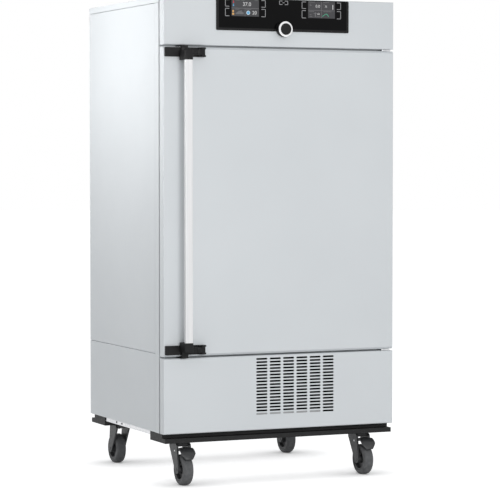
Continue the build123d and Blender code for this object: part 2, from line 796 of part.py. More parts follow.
arm_front = front_face - handle_reach
arm_back = front_face - bracket_thickness - play
with BuildPart() as handle_arms:
    for end, middle, gap_z in handle_ends:
        arm_middle = middle - end * arm_shift
        with BuildSketch(Plane.XY.offset(middle - lever_height / 2)):
            with Locations((lever_pivot_x, lever_pivot_y)):
                Circle(lever_eye)
            with Locations(((lever_pivot_x + bar_x) / 2, (lever_pivot_y - lever_eye + arm_back) / 2)):
                Rectangle(lever_pivot_x - bar_x, arm_back - lever_pivot_y + lever_eye)
            with Locations((lever_pivot_x, lever_pivot_y)):
                Circle(lever_pin_radius + running_fit, mode=Mode.SUBTRACT)
        extrude(amount=lever_height)
        with BuildSketch(Plane.XY.offset(arm_middle - arm_height / 2)) as arm_plan:
            with Locations((bar_x, (arm_front + arm_back) / 2)):
                Rectangle(arm_width, arm_back - arm_front)
            fillet(arm_plan.vertices().group_by(Axis.Y)[0], radius=arm_round)
        extrude(amount=arm_height)
        riser_from = arm_middle
        riser_to = gap_z + end * tongue_thickness / 2
        with BuildSketch(Plane.XY.offset(riser_from)):
            with Locations((tongue_right - tongue_width / 2, arm_back - riser_depth / 2)):
                Rectangle(tongue_width, riser_depth)
        extrude(amount=riser_to - riser_from)
        with BuildSketch(Plane.XY.offset(gap_z - tongue_thickness / 2)):
            with Locations((tongue_right - tongue_width / 2, (arm_back - riser_depth + tongue_reach) / 2)):
                Rectangle(tongue_width, tongue_reach - arm_back + riser_depth)
        extrude(amount=tongue_thickness)
save(handle_arms, "handle_arms")

bar_bottom = handle_ends[1][1] + arm_shift + arm_height / 2
bar_top = handle_ends[0][1] - arm_shift - arm_height / 2
with BuildPart() as handle_bar:
    with BuildSketch(Plane.XY.offset(bar_bottom)) as bar_plan:
        with Locations((bar_x, arm_front + bar_depth / 2)):
            Rectangle(bar_width, bar_depth)
        fillet(bar_plan.vertices(), radius=bar_round)
    extrude(amount=bar_top - bar_bottom)
save(handle_bar, "handle_bar")

# Strikers: small brackets on the front frame whose posts stand beside the latch tongues
striker_width = 20.0
striker_gap = 1.0
striker_reach = 13.0
striker_upstand = 20.0
striker_corner = 2.0
striker_left = tongue_right + striker_gap
with BuildPart() as latch_strikers:
    for end, middle, gap_z in handle_ends:
        near = gap_z - end * tongue_thickness / 2
        with BuildSketch(Plane.XY.offset(near)):
            with Locations((striker_left + striker_width / 2, frame_face - striker_reach / 2)):
                RectangleRounded(striker_width, striker_reach, striker_corner)
        extrude(amount=end * tongue_thickness)
        with BuildSketch(Plane.XY.offset(near)):
            with Locations((striker_left + striker_width / 2, frame_face - tongue_thickness / 2)):
                Rectangle(striker_width, tongue_thickness)
        extrude(amount=end * striker_upstand)
save(latch_strikers, "latch_strikers")

# Chamber: a deep stainless tub with a front flange, welded into the frame's recess
tub_sheet = 2.0
tub_corner = 8.0
shaft_hole_radius = 5.0
with BuildPart() as chamber_tub:
    with BuildSketch(front_plane(tub_face)):
        with Locations((0, chamber_middle)):
            Rectangle(chamber_width + 2 * tub_sheet, chamber_height + 2 * tub_sheet)
    extrude(amount=-(chamber_depth + tub_sheet))
    with BuildSketch(front_plane(tub_face)):
        with Locations((0, chamber_middle)):
            Rectangle(window_width + 2 * sheet, window_height + 2 * sheet)
    extrude(amount=-tub_sheet)
    with BuildSketch(front_plane(tub_face)):
        with Locations((0, chamber_middle)):
            RectangleRounded(chamber_width, chamber_height, tub_corner)
    extrude(amount=-chamber_depth, mode=Mode.SUBTRACT)
    with BuildSketch(front_plane(tub_back)):
        with Locations((0, chamber_middle)):
            Circle(shaft_hole_radius)
    extrude(amount=-tub_sheet, mode=Mode.SUBTRACT)
save(chamber_tub, "chamber_tub")

# Ribbed side liners that carry the shelves
rib_pitch = 66.0
rib_count = 11
rib_first = 60.0
rib_height = 9.0
rib_reach = 14.0
rib_sheet = 1.5
rib_setback = 22.0
rib_length = 470.0
rib_slope = 0.65
rib_front = tub_face + rib_setback
with BuildPart() as shelf_supports:
    for side in (-1, 1):
        with BuildSketch(Plane.XZ.offset(-rib_front)):
            wall_x = side * chamber_width / 2
            with Locations((wall_x - side * rib_sheet / 2, chamber_middle)):
                Rectangle(rib_sheet, chamber_height - 2 * rib_first + 4 * rib_height)
            for rib in range(rib_count):
                rib_z = chamber_bottom + rib_first + rib * rib_pitch
                with BuildLine():
                    Polyline(
                        (wall_x - side * rib_sheet / 2, rib_z - rib_height),
                        (wall_x - side * rib_reach, rib_z - rib_height * (1 - rib_slope)),
                        (wall_x - side * rib_reach, rib_z),
                        (wall_x - side * rib_sheet / 2, rib_z),
                        close=True,
                    )
                make_face()
        extrude(amount=-rib_length)
save(shelf_supports, "shelf_supports")

# Wire shelves
shelf_side_gap = 6.0
shelf_setback = 32.0
shelf_half = chamber_width / 2 - shelf_side_gap
shelf_front = tub_face + shelf_setback
shelf_depth = 440.0
shelf_corner = 20.0
rod_radius = 3.0
wire_radius = 1.75
wire_count = 19
cross_count = 3
lower_shelf_rib = 3
upper_shelf_rib = 7


def wire_shelf(rib):
    """A welded wire shelf resting on the given rib."""
    rod_z = chamber_bottom + rib_first + rib * rib_pitch + play + rod_radius
    rod_half = shelf_half - rod_radius
    wire_pitch = 2 * rod_half / (wire_count + 1)
    with BuildPart() as shelf:
        with BuildLine(Plane.XY.offset(rod_z)) as frame_line:
            FilletPolyline(
                (-rod_half, shelf_front + rod_radius),
                (rod_half, shelf_front + rod_radius),
                (rod_half, shelf_front + shelf_depth - rod_radius),
                (-rod_half, shelf_front + shelf_depth - rod_radius),
                radius=shelf_corner,
                close=True,
            )
        with BuildSketch(Plane(origin=frame_line.line @ 0, z_dir=frame_line.line % 0)):
            Circle(rod_radius)
        sweep()
        for wire in range(wire_count):
            wire_x = -rod_half + (wire + 1) * wire_pitch
            with BuildSketch(front_plane(shelf_front + rod_radius)):
                with Locations((wire_x, rod_z + rod_radius)):
                    Circle(wire_radius)
            extrude(amount=-(shelf_depth - 2 * rod_radius))
        for cross in range(cross_count):
            cross_y = shelf_front + (cross + 1) * shelf_depth / (cross_count + 1)
            with BuildSketch(Plane.YZ.offset(-rod_half)):
                with Locations((cross_y, rod_z)):
                    Circle(wire_radius)
            extrude(amount=2 * rod_half)
    return shelf


save(wire_shelf(lower_shelf_rib), "lower_shelf")
save(wire_shelf(upper_shelf_rib), "upper_shelf")

# Air baffle in front of the fan, perforated round the fan and slotted at its sides
baffle_y = tub_back - 42.0
baffle_sheet = 2.0
baffle_margin = 3.0
baffle_hole_radius = 4.0
baffle_rings = ((24.0, 6), (46.0, 12), (68.0, 18))
return_slot_width = 10.0
return_slot_height = 60.0
return_slot_pitch = 90.0
return_slot_count = 8
return_slot_inset = 40.0
baffle_flange_margin = 20.0
baffle_side = chamber_width / 2 - baffle_margin - baffle_sheet / 2
return_slot_x = chamber_width / 2 - return_slot_inset

with BuildPart() as air_baffle:
    with BuildSketch(front_plane(baffle_y)):
        with Locations((0, chamber_middle)):
            Rectangle(chamber_width - 2 * baffle_margin, chamber_height - 2 * baffle_margin)
        for ring, holes in baffle_rings:
            with Locations((0, chamber_middle)):
                with PolarLocations(ring, holes):
                    Circle(baffle_hole_radius, mode=Mode.SUBTRACT)
        for side in (-1, 1):
            with Locations((side * return_slot_x, chamber_middle)):
                with GridLocations(return_slot_pitch, return_slot_pitch, 1, return_slot_count):
                    SlotOverall(return_slot_height, return_slot_width, rotation=90, mode=Mode.SUBTRACT)
    extrude(amount=-baffle_sheet)
    with BuildSketch(front_plane(baffle_y)):
        for side in (-1, 1):
            with Locations((side * baffle_side, chamber_middle)):
                Rectangle(baffle_sheet, chamber_height - 2 * baffle_flange_margin)
    extrude(amount=-(tub_back - baffle_y))
save(air_baffle, "air_baffle")

# Circulation fan: twisted blades on a hub, driven by a motor behind the tub
shaft_radius = 4.0
fan_hub_radius = 16.0
fan_hub_length = 24.0
fan_hub_back = tub_back - 8.0
blade_count = 7
blade_sheet = 2.0
blade_root_chord = 22.0
blade_tip_chord = 30.0
blade_root_turn = 50.0
blade_tip_turn = 68.0
blade_sink = 2.0
fan_tip_radius = 76.0
motor_radius = 38.0
motor_length = 42.0
fan_middle_y = fan_hub_back - fan_hub_length / 2


def radial_plane(x, y, z, turn, radius):
    """A plane across a fan blade: it faces outward at radius from the shaft, its x along Y."""
    outward = (math.cos(math.radians(turn)), 0, math.sin(math.radians(turn)))
    return Plane(origin=(x + radius * outward[0], y, z + radius * outward[2]), x_dir=(0, 1, 0), z_dir=outward)


with BuildPart() as circulation_fan:
    for blade in range(blade_count):
        turn = blade * 360 / blade_count
        with BuildSketch(radial_plane(0, fan_middle_y, chamber_middle, turn, fan_hub_radius - blade_sink)):
            Rectangle(blade_root_chord, blade_sheet, rotation=blade_root_turn)
        with BuildSketch(radial_plane(0, fan_middle_y, chamber_middle, turn, fan_tip_radius)):
            Rectangle(blade_tip_chord, blade_sheet, rotation=blade_tip_turn)
        loft()
    with BuildSketch(front_plane(fan_hub_back)):
        with Locations((0, chamber_middle)):
            Circle(fan_hub_radius)
    extrude(amount=fan_hub_length)
    with BuildSketch(front_plane(fan_hub_back)):
        with Locations((0, chamber_middle)):
            Circle(shaft_radius + running_fit)
    extrude(amount=fan_hub_length, mode=Mode.SUBTRACT)
save(circulation_fan, "circulation_fan")

with BuildPart() as fan_motor:
    with BuildSketch(front_plane(tub_back + tub_sheet)):
        with Locations((0, chamber_middle)):
            Circle(motor_radius)
    extrude(amount=-motor_length)
    with BuildSketch(front_plane(tub_back + tub_sheet)):
        with Locations((0, chamber_middle)):
            Circle(shaft_radius)
    extrude(amount=tub_back + tub_sheet - (fan_hub_back - fan_hub_length))
save(fan_motor, "fan_motor")

# Foam round the tub, from the front frame to the rear panel
foam_half = half_width - panel_flange - play
foam_front = tub_face + tub_sheet
foam_back = rear_face - panel_flange - play
insulation_bottom = lower_side_top + 6.0
with BuildPart() as cabinet_insulation:
    with BuildSketch(front_plane(foam_front)):
        with Locations((0, (insulation_bottom + insulation_top) / 2)):
            Rectangle(2 * foam_half, insulation_top - insulation_bottom)
    extrude(amount=-(foam_back - foam_front))
    with BuildSketch(front_plane(foam_front)):
        with Locations((0, chamber_middle)):
            Rectangle(chamber_width + 2 * tub_sheet, chamber_height + 2 * tub_sheet)
    extrude(amount=-chamber_depth, mode=Mode.SUBTRACT)
    with BuildSketch(front_plane(tub_back + tub_sheet)):
        with Locations((0, chamber_middle)):
            Circle(motor_radius + play)
    extrude(amount=-(foam_back - tub_back), mode=Mode.SUBTRACT)
save(cabinet_insulation, "cabinet_insulation")

# Inner glass door: a plain pane, its clamps with hinge barrels and pull, and the fixed hinge pins
pane_thickness = 6.0
pane_gap = 4.0
pane_overlap = 20.0
pane_corner = 6.0
axis_inset = 6.0
axis_front = 6.0
barrel_radius = 4.0
barrel_height = 34.0
glass_pin_radius = 2.0
clamp_width = 36.0
clamp_thickness = 2.5
hinge_drop = 90.0
hinge_ear = 5.0
pull_inset = 22.0
pull_base_radius = 9.0
pull_base_depth = 3.0
pull_radius = 6.0
pull_depth = 8.0
pane_front = tub_face - pane_gap - pane_thickness
glass_axis_x = window_width / 2 - axis_inset
glass_axis_y = pane_front - axis_front
pane_left = -chamber_width / 2 - pane_overlap
pane_right = glass_axis_x - axis_inset
pane_bottom = chamber_bottom - pane_overlap
pane_top = chamber_top + pane_overlap
pull_x = pane_left + pull_inset
glass_hinge_spots = (pane_bottom + hinge_drop, pane_top - hinge_drop)

with BuildPart() as glass_pane:
    with BuildSketch(front_plane(pane_front + pane_thickness)):
        with Locations(((pane_left + pane_right) / 2, (pane_bottom + pane_top) / 2)):
            RectangleRounded(pane_right - pane_left, pane_top - pane_bottom, pane_corner)
    extrude(amount=pane_thickness)
save(glass_pane, "glass_pane")

with BuildPart() as glass_fittings:
    for spot in glass_hinge_spots:
        with BuildSketch(Plane.XY.offset(spot - barrel_height / 2)):
            with Locations((glass_axis_x - clamp_width / 2, pane_front - clamp_thickness / 2)):
                Rectangle(clamp_width, clamp_thickness)
            with Locations((glass_axis_x, glass_axis_y)):
                Circle(barrel_radius)
                Circle(glass_pin_radius + running_fit, mode=Mode.SUBTRACT)
        extrude(amount=barrel_height)
    with BuildSketch(front_plane(pane_front)):
        with Locations((pull_x, chamber_middle)):
            Circle(pull_base_radius)
    extrude(amount=pull_base_depth)
    with BuildSketch(front_plane(pane_front - pull_base_depth)):
        with Locations((pull_x, chamber_middle)):
            Circle(pull_radius)
    extrude(amount=pull_depth)
save(glass_fittings, "glass_fittings")

with BuildPart() as glass_hinge_pins:
    for spot in glass_hinge_spots:
        for end in (-1, 1):
            ear_from = spot + end * (barrel_height / 2 + play)
            with BuildSketch(Plane.XY.offset(ear_from)):
                with Locations((glass_axis_x, glass_axis_y)):
                    Circle(barrel_radius)
                with Locations(((glass_axis_x + window_width / 2) / 2, glass_axis_y)):
                    Rectangle(window_width / 2 - glass_axis_x, 2 * barrel_radius)
            extrude(amount=end * hinge_ear)
        with BuildSketch(Plane.XY.offset(spot - barrel_height / 2 - hinge_ear)):
            with Locations((glass_axis_x, glass_axis_y)):
                Circle(glass_pin_radius)
        extrude(amount=barrel_height + 2 * hinge_ear)
save(glass_hinge_pins, "glass_hinge_pins")

# Compressor: a welded shell on a foot plate, with four rubber feet on the base tray
compressor_x = -190.0
compressor_setback = 200.0
compressor_radius = 78.0
compressor_height = 190.0
compressor_round = 34.0
foot_plate_width = 190.0
foot_plate_depth = 130.0
foot_plate_sheet = 4.0
foot_plate_corner = 12.0
foot_radius = 12.0
foot_height = 18.0
foot_pitch_x = 160.0
foot_pitch_y = 100.0
compressor_y = front_beam_back + compressor_setback
compressor_base = tray_floor + foot_height
with BuildPart() as compressor:
    with Locations((compressor_x, compressor_y, compressor_base)):
        Cylinder(compressor_radius, compressor_height, align=up)
    fillet(compressor.edges().filter_by(GeomType.CIRCLE), radius=compressor_round)
    with BuildSketch(Plane.XY.offset(compressor_base)):
        with Locations((compressor_x, compressor_y)):
            RectangleRounded(foot_plate_width, foot_plate_depth, foot_plate_corner)
    extrude(amount=foot_plate_sheet)
    with Locations((compressor_x, compressor_y, tray_floor)):
        with GridLocations(foot_pitch_x, foot_pitch_y, 2, 2):
            Cylinder(foot_radius, foot_height, align=up)
save(compressor, "compressor")

# Condenser: finned tubes between two end plates that stand on the tray's front lap
coil_width = 300.0
coil_height = 190.0
coil_depth = 44.0
coil_setback = 14.0
coil_lift = 6.0
fin_count = 24
fin_sheet = 1.5
tube_rows = 5
tube_radius = 5.0
tube_overhang = 12.0
end_plate = 3.0
coil_y = post_back + coil_setback
coil_middle_y = coil_y + coil_depth / 2
coil_bottom = tray_lap_top + coil_lift
coil_top = coil_bottom + coil_height
coil_end = coil_width / 2 + tube_overhang
tube_pitch = coil_height / tube_rows
fin_pitch = coil_width / (fin_count - 1)
with BuildPart() as condenser_coil:
    for fin in range(fin_count):
        fin_x = grille_x - coil_width / 2 + fin * fin_pitch
        with BuildSketch(Plane.YZ.offset(fin_x - fin_sheet / 2)):
            with Locations((coil_middle_y, (coil_bottom + coil_top) / 2)):
                Rectangle(coil_depth, coil_height)
        extrude(amount=fin_sheet)
    for row in range(tube_rows):
        with BuildSketch(Plane.YZ.offset(grille_x - coil_end)):
            with Locations((coil_middle_y, coil_bottom + (row + 0.5) * tube_pitch)):
                Circle(tube_radius)
        extrude(amount=2 * coil_end)
    for side in (-1, 1):
        with BuildSketch(Plane.YZ.offset(grille_x + side * coil_end - end_plate / 2)):
            with Locations((coil_middle_y, (tray_lap_top + coil_top) / 2)):
                Rectangle(coil_depth, coil_top - tray_lap_top)
        extrude(amount=end_plate)
save(condenser_coil, "condenser_coil")

# Fan shroud behind the condenser, with a bar across its opening that carries the fan's motor
shroud_depth = 30.0
fan_opening = 86.0
bar_height = 12.0
bar_landing = 2.0
cooling_motor_radius = 24.0
cooling_motor_length = 30.0
cooling_hub_radius = 20.0
cooling_hub_length = 16.0
cooling_hub_gap = 6.0
cooling_tip_radius = 78.0
cooling_blade_count = 5
cooling_root_chord = 22.0
cooling_tip_chord = 40.0
cooling_root_turn = 50.0
cooling_tip_turn = 68.0
shroud_y = coil_y + coil_depth + play
shroud_back = shroud_y + shroud_depth
shroud_width = 2 * coil_end + end_plate
fan_z = (coil_bottom + coil_top) / 2
cooling_hub_back = shroud_back - cooling_hub_gap
with BuildPart() as fan_shroud:
    with BuildSketch(front_plane(shroud_y)):
        with Locations((grille_x, fan_z)):
            Rectangle(shroud_width, coil_height)
    extrude(amount=-shroud_depth)
    offset(amount=-sheet, openings=fan_shroud.faces().sort_by(Axis.Y)[0])
    with BuildSketch(front_plane(shroud_back)):
        with Locations((grille_x, fan_z)):
            Circle(fan_opening)
            Rectangle(2 * (fan_opening + bar_landing), bar_height, mode=Mode.SUBTRACT)
    extrude(amount=sheet, mode=Mode.SUBTRACT)
    with BuildSketch(front_plane(shroud_back)):
        with Locations((grille_x, fan_z)):
            Circle(cooling_motor_radius)
    extrude(amount=-cooling_motor_length)
    with BuildSketch(front_plane(shroud_back)):
        with Locations((grille_x, fan_z)):
            Circle(shaft_radius)
    extrude(amount=cooling_hub_gap + cooling_hub_length)
save(fan_shroud, "fan_shroud")

cooling_middle_y = cooling_hub_back - cooling_hub_length / 2
with BuildPart() as condenser_fan:
    for blade in range(cooling_blade_count):
        turn = blade * 360 / cooling_blade_count
        root_plane = radial_plane(grille_x, cooling_middle_y, fan_z, turn, cooling_hub_radius - blade_sink)
        with BuildSketch(root_plane):
            Rectangle(cooling_root_chord, blade_sheet, rotation=cooling_root_turn)
        with BuildSketch(radial_plane(grille_x, cooling_middle_y, fan_z, turn, cooling_tip_radius)):
            Rectangle(cooling_tip_chord, blade_sheet, rotation=cooling_tip_turn)
        loft()
    with BuildSketch(front_plane(cooling_hub_back)):
        with Locations((grille_x, fan_z)):
            Circle(cooling_hub_radius)
    extrude(amount=cooling_hub_length)
    with BuildSketch(front_plane(cooling_hub_back)):
        with Locations((grille_x, fan_z)):
            Circle(shaft_radius + running_fit)
    extrude(amount=cooling_hub_length, mode=Mode.SUBTRACT)
save(condenser_fan, "condenser_fan")

# Refrigerant pipes: suction, discharge, and the liquid line with its filter drier
pipe_radius = 4.0
pipe_bend = 12.0
pipe_offset = 30.0
suction_run = 120.0
return_gap = 45.0
drier_radius = 13.0
drier_height = 90.0
pipe_top = compressor_base + compressor_height
suction_x = compressor_x + pipe_offset
discharge_x = compressor_x - pipe_offset
return_x = grille_x + coil_end + return_gap
coil_top_row = coil_top - tube_pitch / 2
coil_low_row = coil_bottom + tube_pitch / 2
with BuildPart() as refrigerant_pipes:
    with BuildLine() as suction:
        FilletPolyline(
            (suction_x, compressor_y, pipe_top),
            (suction_x, compressor_y, pipe_top + pipe_offset),
            (suction_x, compressor_y + suction_run, pipe_top + pipe_offset),
            (suction_x, compressor_y + suction_run, insulation_bottom),
            radius=pipe_bend,
        )
    with BuildSketch(Plane(origin=suction.line @ 0, z_dir=suction.line % 0)):
        Circle(pipe_radius)
    sweep(path=suction.line)
    with BuildLine() as discharge:
        FilletPolyline(
            (discharge_x, compressor_y, pipe_top),
            (discharge_x, compressor_y, pipe_top + pipe_offset),
            (discharge_x, coil_middle_y, pipe_top + pipe_offset),
            (discharge_x, coil_middle_y, coil_top_row),
            (grille_x - coil_end - end_plate / 2, coil_middle_y, coil_top_row),
            radius=pipe_bend,
        )
    with BuildSketch(Plane(origin=discharge.line @ 0, z_dir=discharge.line % 0)):
        Circle(pipe_radius)
    sweep(path=discharge.line)
    with BuildLine() as liquid:
        FilletPolyline(
            (grille_x + coil_end + end_plate / 2, coil_middle_y, coil_low_row),
            (return_x, coil_middle_y, coil_low_row),
            (return_x, coil_middle_y, insulation_bottom),
            radius=pipe_bend,
        )
    with BuildSketch(Plane(origin=liquid.line @ 0, z_dir=liquid.line % 0)):
        Circle(pipe_radius)
    sweep(path=liquid.line)
    with BuildSketch(Plane.XY.offset(fan_z - drier_height / 2)):
        with Locations((return_x, coil_middle_y)):
            Circle(drier_radius)
    extrude(amount=drier_height)
save(refrigerant_pipes, "refrigerant_pipes")

# Mains module in the rear panel: a three-pin inlet socket beside a rocker switch on its pin
flange_margin = 5.0
flange_thickness = 2.0
flange_corner = 4.0
module_depth = 32.0
socket_x = module_x - 12.0
socket_width = 24.0
socket_height = 16.5
socket_depth = 18.0
blade_width = 2.0
blade_height = 4.5
blade_length = 11.0
blade_spread = 7.0
blade_shift = 2.0
rocker_x = module_x + 17.0
rocker_bay_width = 15.0
rocker_bay_height = 21.0
rocker_bay_depth = 12.0
rocker_pivot_y = rear_face - 5.0
rocker_pin_radius = 1.5
rocker_half = 8.5
module_face = rear_face + flange_thickness
blades = [
    (socket_x - blade_spread, module_z - blade_shift),
    (socket_x, module_z + blade_shift),
    (socket_x + blade_spread, module_z - blade_shift),
]

with BuildPart() as power_inlet:
    with BuildSketch(front_plane(rear_face)):
        with Locations((module_x, module_z)):
            Rectangle(module_width, module_height)
    extrude(amount=module_depth)
    with BuildSketch(front_plane(rear_face)):
        with Locations((module_x, module_z)):
            flange_width = module_width + 2 * flange_margin
            RectangleRounded(flange_width, module_height + 2 * flange_margin, flange_corner)
    extrude(amount=-flange_thickness)
    with BuildSketch(front_plane(module_face)):
        with Locations((socket_x, module_z)):
            Rectangle(socket_width, socket_height)
    extrude(amount=socket_depth, mode=Mode.SUBTRACT)
    with BuildSketch(front_plane(module_face)):
        with Locations((rocker_x, module_z)):
            Rectangle(rocker_bay_width, rocker_bay_height)
    extrude(amount=rocker_bay_depth, mode=Mode.SUBTRACT)
    with BuildSketch(front_plane(module_face - socket_depth)):
        with Locations(*blades):
            Rectangle(blade_width, blade_height)
    extrude(amount=-blade_length)
    with BuildSketch(Plane.YZ.offset(rocker_x - rocker_bay_width / 2)):
        with Locations((rocker_pivot_y, module_z)):
            Circle(rocker_pin_radius)
    extrude(amount=rocker_bay_width)
save(power_inlet, "power_inlet")

rocker_width = rocker_bay_width - 2 * play
rocker_corner = rocker_pivot_y + 7.5
rocker_dip = rocker_pivot_y + 5.5
rocker_shoulder = rocker_pivot_y + 1.0
rocker_base = rocker_pivot_y - 3.0
rocker_base_half = 5.0
with BuildPart() as mains_switch:
    with BuildSketch(Plane.YZ.offset(rocker_x - rocker_width / 2)):
        with BuildLine():
            Polyline(
                (rocker_corner, module_z - rocker_half),
                (rocker_dip, module_z),
                (rocker_corner, module_z + rocker_half),
                (rocker_shoulder, module_z + rocker_half),
                (rocker_base, module_z + rocker_base_half),
                (rocker_base, module_z - rocker_base_half),
                (rocker_shoulder, module_z - rocker_half),
                close=True,
            )
        make_face()
        with Locations((rocker_pivot_y, module_z)):
            Circle(rocker_pin_radius + running_fit, mode=Mode.SUBTRACT)
    extrude(amount=rocker_width)
save(mains_switch, "mains_switch")
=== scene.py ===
import json
import math

import bmesh
import bpy
from mathutils import Matrix, Vector

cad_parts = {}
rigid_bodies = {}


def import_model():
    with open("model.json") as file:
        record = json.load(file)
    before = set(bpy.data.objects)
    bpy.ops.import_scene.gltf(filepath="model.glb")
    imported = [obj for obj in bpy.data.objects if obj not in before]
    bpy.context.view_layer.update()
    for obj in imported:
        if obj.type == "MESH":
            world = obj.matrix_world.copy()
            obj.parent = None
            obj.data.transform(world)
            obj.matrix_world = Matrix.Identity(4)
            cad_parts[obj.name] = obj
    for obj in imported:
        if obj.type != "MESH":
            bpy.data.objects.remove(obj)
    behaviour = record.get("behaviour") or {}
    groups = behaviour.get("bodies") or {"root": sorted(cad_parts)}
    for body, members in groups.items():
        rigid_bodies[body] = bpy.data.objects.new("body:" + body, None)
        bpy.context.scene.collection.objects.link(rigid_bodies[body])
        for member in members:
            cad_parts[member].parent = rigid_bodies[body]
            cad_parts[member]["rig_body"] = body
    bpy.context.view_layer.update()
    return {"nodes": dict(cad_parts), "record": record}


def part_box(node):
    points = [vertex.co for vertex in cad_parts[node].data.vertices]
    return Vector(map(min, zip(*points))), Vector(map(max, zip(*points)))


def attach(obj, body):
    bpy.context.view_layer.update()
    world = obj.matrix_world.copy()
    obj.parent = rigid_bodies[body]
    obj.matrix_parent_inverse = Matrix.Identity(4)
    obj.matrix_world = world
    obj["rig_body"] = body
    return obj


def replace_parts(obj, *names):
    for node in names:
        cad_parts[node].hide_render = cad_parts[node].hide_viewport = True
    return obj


# A floor-standing cooled incubator: a light grey case on four castors, with a long bar handle,
# a black control panel over the door and a slotted grille under it.
# Metres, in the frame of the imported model: X is width, the door looks towards -Y, Z is up.

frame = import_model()
nodes = frame["nodes"]

# Camera
camera_place = (-3.0946, -6.9982, 1.0474)
camera_yaw = 24.0917
camera_pitch = 2.2572
camera_lens = 162.406
camera_sensor = 36.0

camera_data = bpy.data.cameras.new("camera")
camera_data.lens = camera_lens
camera_data.sensor_width = camera_sensor
camera_data.clip_end = 100.0
camera = bpy.data.objects.new("camera", camera_data)
camera.location = camera_place
camera.rotation_euler = (math.radians(90 - camera_pitch), 0, math.radians(-camera_yaw))
bpy.context.scene.collection.objects.link(camera)
bpy.context.scene.camera = camera
bpy.context.scene.view_settings.view_transform = "Standard"


# Studio
def seen_directly(tree):
    """1 for camera, glossy and transmission rays, and 0 for the rays that light the object."""
    path = tree.nodes.new("ShaderNodeLightPath")
    first = tree.nodes.new("ShaderNodeMath")
    first.operation = "MAXIMUM"
    tree.links.new(path.outputs["Is Camera Ray"], first.inputs[0])
    tree.links.new(path.outputs["Is Glossy Ray"], first.inputs[1])
    either = tree.nodes.new("ShaderNodeMath")
    either.operation = "MAXIMUM"
    tree.links.new(first.outputs[0], either.inputs[0])
    tree.links.new(path.outputs["Is Transmission Ray"], either.inputs[1])
    return either.outputs[0]


def build_room(light_level):
    """White surroundings, which light the object at light_level."""
    world = bpy.data.worlds.new("studio")
    bpy.context.scene.world = world
    world.use_nodes = True
    tree = world.node_tree
    lighting = tree.nodes["Background"]
    lighting.inputs["Color"].default_value = (0.97, 0.985, 1.0, 1.0)
    lighting.inputs["Strength"].default_value = light_level
    seen = tree.nodes.new("ShaderNodeBackground")
    seen.inputs["Color"].default_value = (1.0, 1.0, 1.0, 1.0)
    seen.inputs["Strength"].default_value = 1.0
    mix = tree.nodes.new("ShaderNodeMixShader")
    tree.links.new(seen_directly(tree), mix.inputs[0])
    tree.links.new(lighting.outputs[0], mix.inputs[1])
    tree.links.new(seen.outputs[0], mix.inputs[2])
    tree.links.new(mix.outputs[0], tree.nodes["World Output"].inputs["Surface"])


def build_floor(reach, glow):
    """A wide pale floor that is white where nothing shades it, with a painted contact shadow close round the
    tyres.
    """
    mesh = bpy.data.meshes.new("floor")
    shape = bmesh.new()
    bmesh.ops.create_circle(shape, cap_ends=True, radius=reach, segments=64)
    shape.to_mesh(mesh)
    shape.free()
    floor = bpy.data.objects.new("floor", mesh)
    bpy.context.scene.collection.objects.link(floor)
    pale = bpy.data.materials.new("pale_floor")
    pale.use_nodes = True
    tree = pale.node_tree
    tree.nodes.remove(tree.nodes["Principled BSDF"])
    matt = tree.nodes.new("ShaderNodeBsdfDiffuse")
    matt.inputs["Color"].default_value = (0.8, 0.8, 0.8, 1.0)
    light = tree.nodes.new("ShaderNodeEmission")
    light.inputs["Strength"].default_value = glow
    # Ambient occlusion dims the glow close round the tyres: a painted contact shadow.
    painted_contact_shade = tree.nodes.new("ShaderNodeAmbientOcclusion")
    painted_contact_shade.samples = 8
    painted_contact_shade.inputs["Distance"].default_value = 0.16
    tree.links.new(painted_contact_shade.outputs["Color"], light.inputs["Color"])
    both = tree.nodes.new("ShaderNodeAddShader")
    mix = tree.nodes.new("ShaderNodeMixShader")
    tree.links.new(matt.outputs[0], both.inputs[0])
    tree.links.new(light.outputs[0], both.inputs[1])
    tree.links.new(seen_directly(tree), mix.inputs[0])
    tree.links.new(matt.outputs[0], mix.inputs[1])
    tree.links.new(both.outputs[0], mix.inputs[2])
    tree.links.new(mix.outputs[0], tree.nodes["Material Output"].inputs["Surface"])
    mesh.materials.append(pale)


def add_lamp(name, place, target, width, height, power, spread=180.0):
    """A soft rectangular lamp at place, turned to target, whose beam is spread degrees wide."""
    data = bpy.data.lights.new(name, "AREA")
    data.shape = "RECTANGLE"
    data.size = width
    data.size_y = height
    data.energy = power
    data.spread = math.radians(spread)
    lamp = bpy.data.objects.new(name, data)
    lamp.location = place
    lamp.rotation_euler = (Vector(target) - Vector(place)).to_track_quat("-Z", "Y").to_euler()
    lamp.visible_camera = False
    bpy.context.scene.collection.objects.link(lamp)


build_room(light_level=0.5)
build_floor(reach=40.0, glow=0.7)
add_lamp("front_lamp", (-0.5, -4.8, 1.7), (0.0, 0.0, 1.0), 1.6, 1.6, 75.0)
add_lamp("side_lamp", (-3.6, 0.4, 1.2), (-0.4, 0.0, 0.8), 2.0, 2.0, 11.0)
add_lamp("upper_left_lamp", (-2.3, 0.2, 1.8), (-0.41, 0.0, 1.5), 0.8, 0.8, 2.4, 46.0)


# Finishes: each is one shader with its plain sockets set, and patterns on the piece's own coordinates
def new_finish(name, **sockets):
    """A material whose shader has these sockets set; an underscore stands for a space."""
    material = bpy.data.materials.new(name)
    material.use_nodes = True
    shader = material.node_tree.nodes["Principled BSDF"]
    for socket, value in sockets.items():
        shader.inputs[socket.replace("_", " ")].default_value = value
    return material


def on_piece(material, stretch=(1, 1, 1)):
    """The piece's own coordinates, in metres, stretched along each axis."""
    tree = material.node_tree
    place = tree.nodes.new("ShaderNodeTexCoord")
    mapping = tree.nodes.new("ShaderNodeMapping")
    mapping.inputs["Scale"].default_value = stretch
    tree.links.new(place.outputs["Object"], mapping.inputs["Vector"])
    return mapping.outputs["Vector"]


